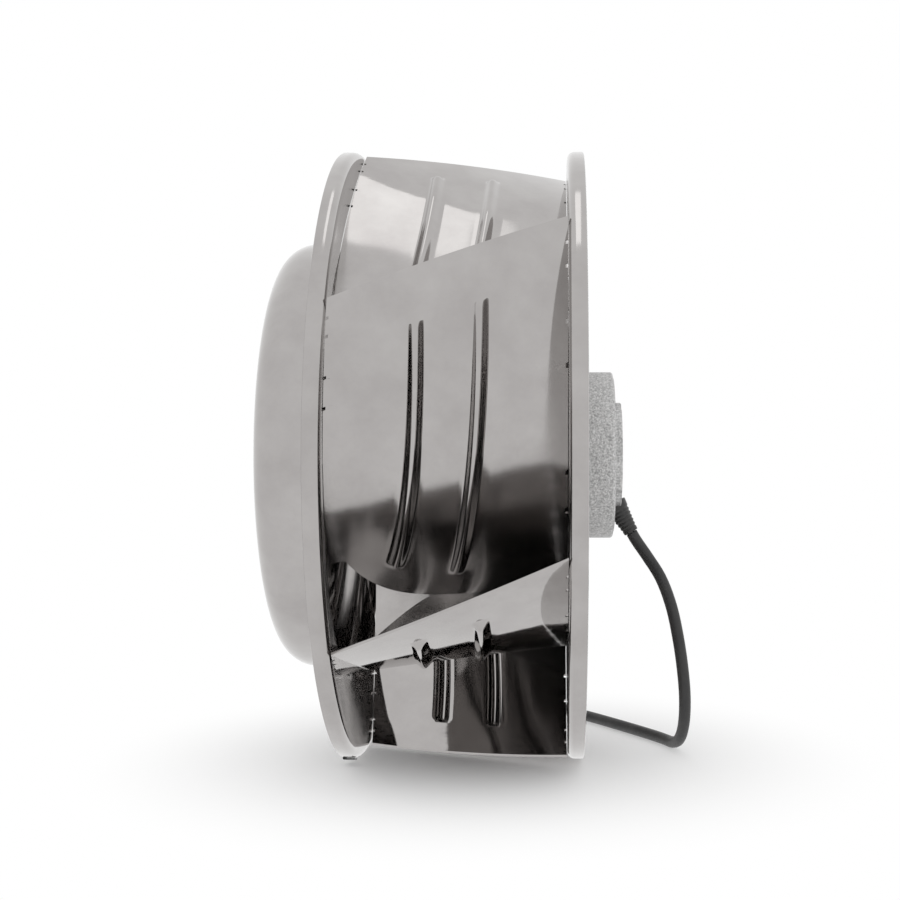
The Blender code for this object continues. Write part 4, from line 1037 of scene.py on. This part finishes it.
for index, (colour, (dark, light)) in enumerate(core_colours.items()):
    number = index + 1
    insulation = plain_finish("core_insulation_" + colour, dark, light, 0.4, 0.0, 300.0)
    if colour == "earth":
        core_place = insulation.place()
        stripe = insulation.along(core_place, "Z") * 2600.0 + insulation.noise(core_place, 30.0) * 2.0
        halves = insulation.node("ShaderNodeMapRange", {}, {
            "Value": stripe.worked("SINE"), "From Min": -0.1, "From Max": 0.1})
        insulation.feed("Base Color", insulation.blend(halves, green, yellow))
    offset = (index - 1.5) * core_spread
    root = core_start + Vector((0.0, nest[index][0] * core_nest, nest[index][1] * core_nest))
    straight = root + Vector((-core_bend * 0.3, 0.0, 0.0))
    bend = Vector((root.x - core_bend, core_start.y + offset * 1.2, (root.z + tip_height) / 2))
    tip = Vector((root.x - core_bared, core_start.y + offset * 2.2, tip_height))
    core = smooth_route([root, straight, bend, tip], 0.001)
    add_curve("core_wire_%d" % number, core, core_radius, insulation.material,
                          "stator", "core_" + colour, "lead_core_%d" % number)
    along = core[-1] - core[-3]
    along.z = 0.0
    along.normalize()
    ferrule = turned([(x, ferrule_radius * share) for x, share in ferrule_outline], 24, closed=False)
    aim_shape(ferrule, tip + along * seat_gap, along)
    add_shape("crimped_ferrule_%d" % number, ferrule, tin.material, "stator", "zinc_steel",
                          "lead_ferrule_%d" % number)

tie_thickness = 0.0010
tie_width = 0.0046
tie_lock = (0.0064, 0.0060, 0.0018)
tie_corner_steps = 6
tie_rounding = cable_radius + tie_thickness
tie_half = 2 * cable_radius + tie_thickness
tie_y, tie_z = coil_centre.y + coil_radius, lie_z + layer_lift + cable_radius
tie_rings = []
tie_shape = bmesh.new()
for inward in (0.0, tie_thickness * 0.9):
    loop = []
    for corner, (side_y, side_z) in enumerate(((1, 1), (-1, 1), (-1, -1), (1, -1))):
        middle_y = tie_y + side_y * (tie_half - tie_rounding)
        middle_z = tie_z + side_z * (tie_half - tie_rounding)
        loop += arc_points(middle_y, middle_z, tie_rounding - inward,
                           90 * corner, 90 * corner + 90, tie_corner_steps)
    for across in (-tie_width / 2, tie_width / 2):
        tie_rings.append([tie_shape.verts.new((coil_centre.x + across, y, z)) for y, z in loop])
for first, second in ((0, 1), (1, 3), (3, 2), (2, 0)):
    bridge(tie_shape, tie_rings[first], tie_rings[second])
lock_place = Matrix.Translation((coil_centre.x, tie_y - 0.002, tie_z + tie_half - 0.0007))
bmesh.ops.create_cube(tie_shape, size=1.0, matrix=lock_place @ Matrix.Diagonal((*tie_lock, 1.0)))
add_shape("nylon_tie", tie_shape, tie_nylon.material, "stator", "nylon", "coil_tie", sharp=30.0)
round(route_length(places), 3)

# --- Studio ---
# The fan stands on a pale floor in a white room, under one soft box. Metal mirrors the same white
# background that the camera sees, and the floor keeps only the fan's shadow.

camera_data = bpy.data.cameras.new("camera")
camera_data.sensor_width = 36.0
camera_data.lens = 56.5
camera_data.shift_x = -0.0898
camera = add_object("camera", camera_data)
camera.location = (-0.0389, -0.8455, 0.0015)
camera.rotation_euler = (math.radians(90.1), 0.0, math.radians(1.0))
bpy.context.scene.camera = camera

floor_gap = 0.0002
floor_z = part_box("inlet_shroud")[0].z - floor_gap
floor_radius = 1.6
shadow_reach = 0.24
mirror_fade = 0.95
ambient = 0.85
floor_shape = bmesh.new()
bmesh.ops.create_circle(floor_shape, cap_ends=True, segments=64, radius=floor_radius)
floor_mesh = bpy.data.meshes.new("floor")
floor_shape.to_mesh(floor_mesh)
floor_shape.free()
floor = add_object("floor", floor_mesh)
floor.location = (-0.08, 0.0, floor_z)

floor_finish = Finish("floor_paper", (0.88, 0.88, 0.88), 0.9, 0.0)
distance = floor_finish.node("ShaderNodeVectorMath", {"operation": "LENGTH"},
                             {0: floor_finish.place()}, "Value")
rays = floor_finish.node("ShaderNodeLightPath", output="Is Camera Ray")
mirrored = floor_finish.node("ShaderNodeLightPath", output="Is Glossy Ray")
glow = floor_finish.node("ShaderNodeEmission", {}, {"Color": (1, 1, 1, 1), "Strength": 1.0}, "Emission")
clear = floor_finish.node("ShaderNodeBsdfTransparent", output="BSDF")
paper = Level(floor_finish, floor_finish.shader.outputs["BSDF"])
far_floor = floor_finish.node("ShaderNodeMixShader", {}, {0: rays, 1: clear, 2: glow}, "Shader")
fade = floor_finish.ease(distance, 0.0, shadow_reach).worked("MAXIMUM", mirrored * mirror_fade)
whole = floor_finish.node("ShaderNodeMixShader", {}, {0: fade, 1: paper, 2: far_floor}, "Shader")
surface = floor_finish.tree.nodes["Material Output"].inputs["Surface"]
floor_finish.tree.links.new(whole.socket, surface)
floor_mesh.materials.append(floor_finish.material)

room = bpy.data.worlds.new("room")
room.use_nodes = True
bpy.context.scene.world = room


class Room(Finish):
    """The world's nodes, which end in a background in place of a surface."""

    def __init__(self, world):
        self.tree = world.node_tree
        self.shader = self.tree.nodes["Background"]


walls = Room(room)
camera_ray = walls.node("ShaderNodeLightPath", output="Is Camera Ray")
glossy_ray = walls.node("ShaderNodeLightPath", output="Is Glossy Ray")
clear_ray = walls.node("ShaderNodeLightPath", output="Is Transmission Ray")
white = (camera_ray + glossy_ray + clear_ray).worked("MINIMUM", 1.0)
walls.feed("Strength", white + (1 - white) * ambient)
walls.shader.inputs["Color"].default_value = (1.0, 1.0, 1.0, 1.0)

lamp_data = bpy.data.lights.new("soft_box", "AREA")
lamp_data.shape = "RECTANGLE"
lamp_data.size, lamp_data.size_y = 0.66, 0.36
lamp_data.energy = 0.55
lamp = add_object("soft_box", lamp_data)
lamp.location = (-0.1, 0.0, 1.3)
lamp.rotation_euler = (Vector((-0.08, 0.0, 0.0)) - lamp.location).to_track_quat("-Z", "Y").to_euler()
lamp.visible_camera = False

# --- The end ---
# The standard view shows the colours as they are set.

bpy.context.scene.view_settings.view_transform = "Standard"
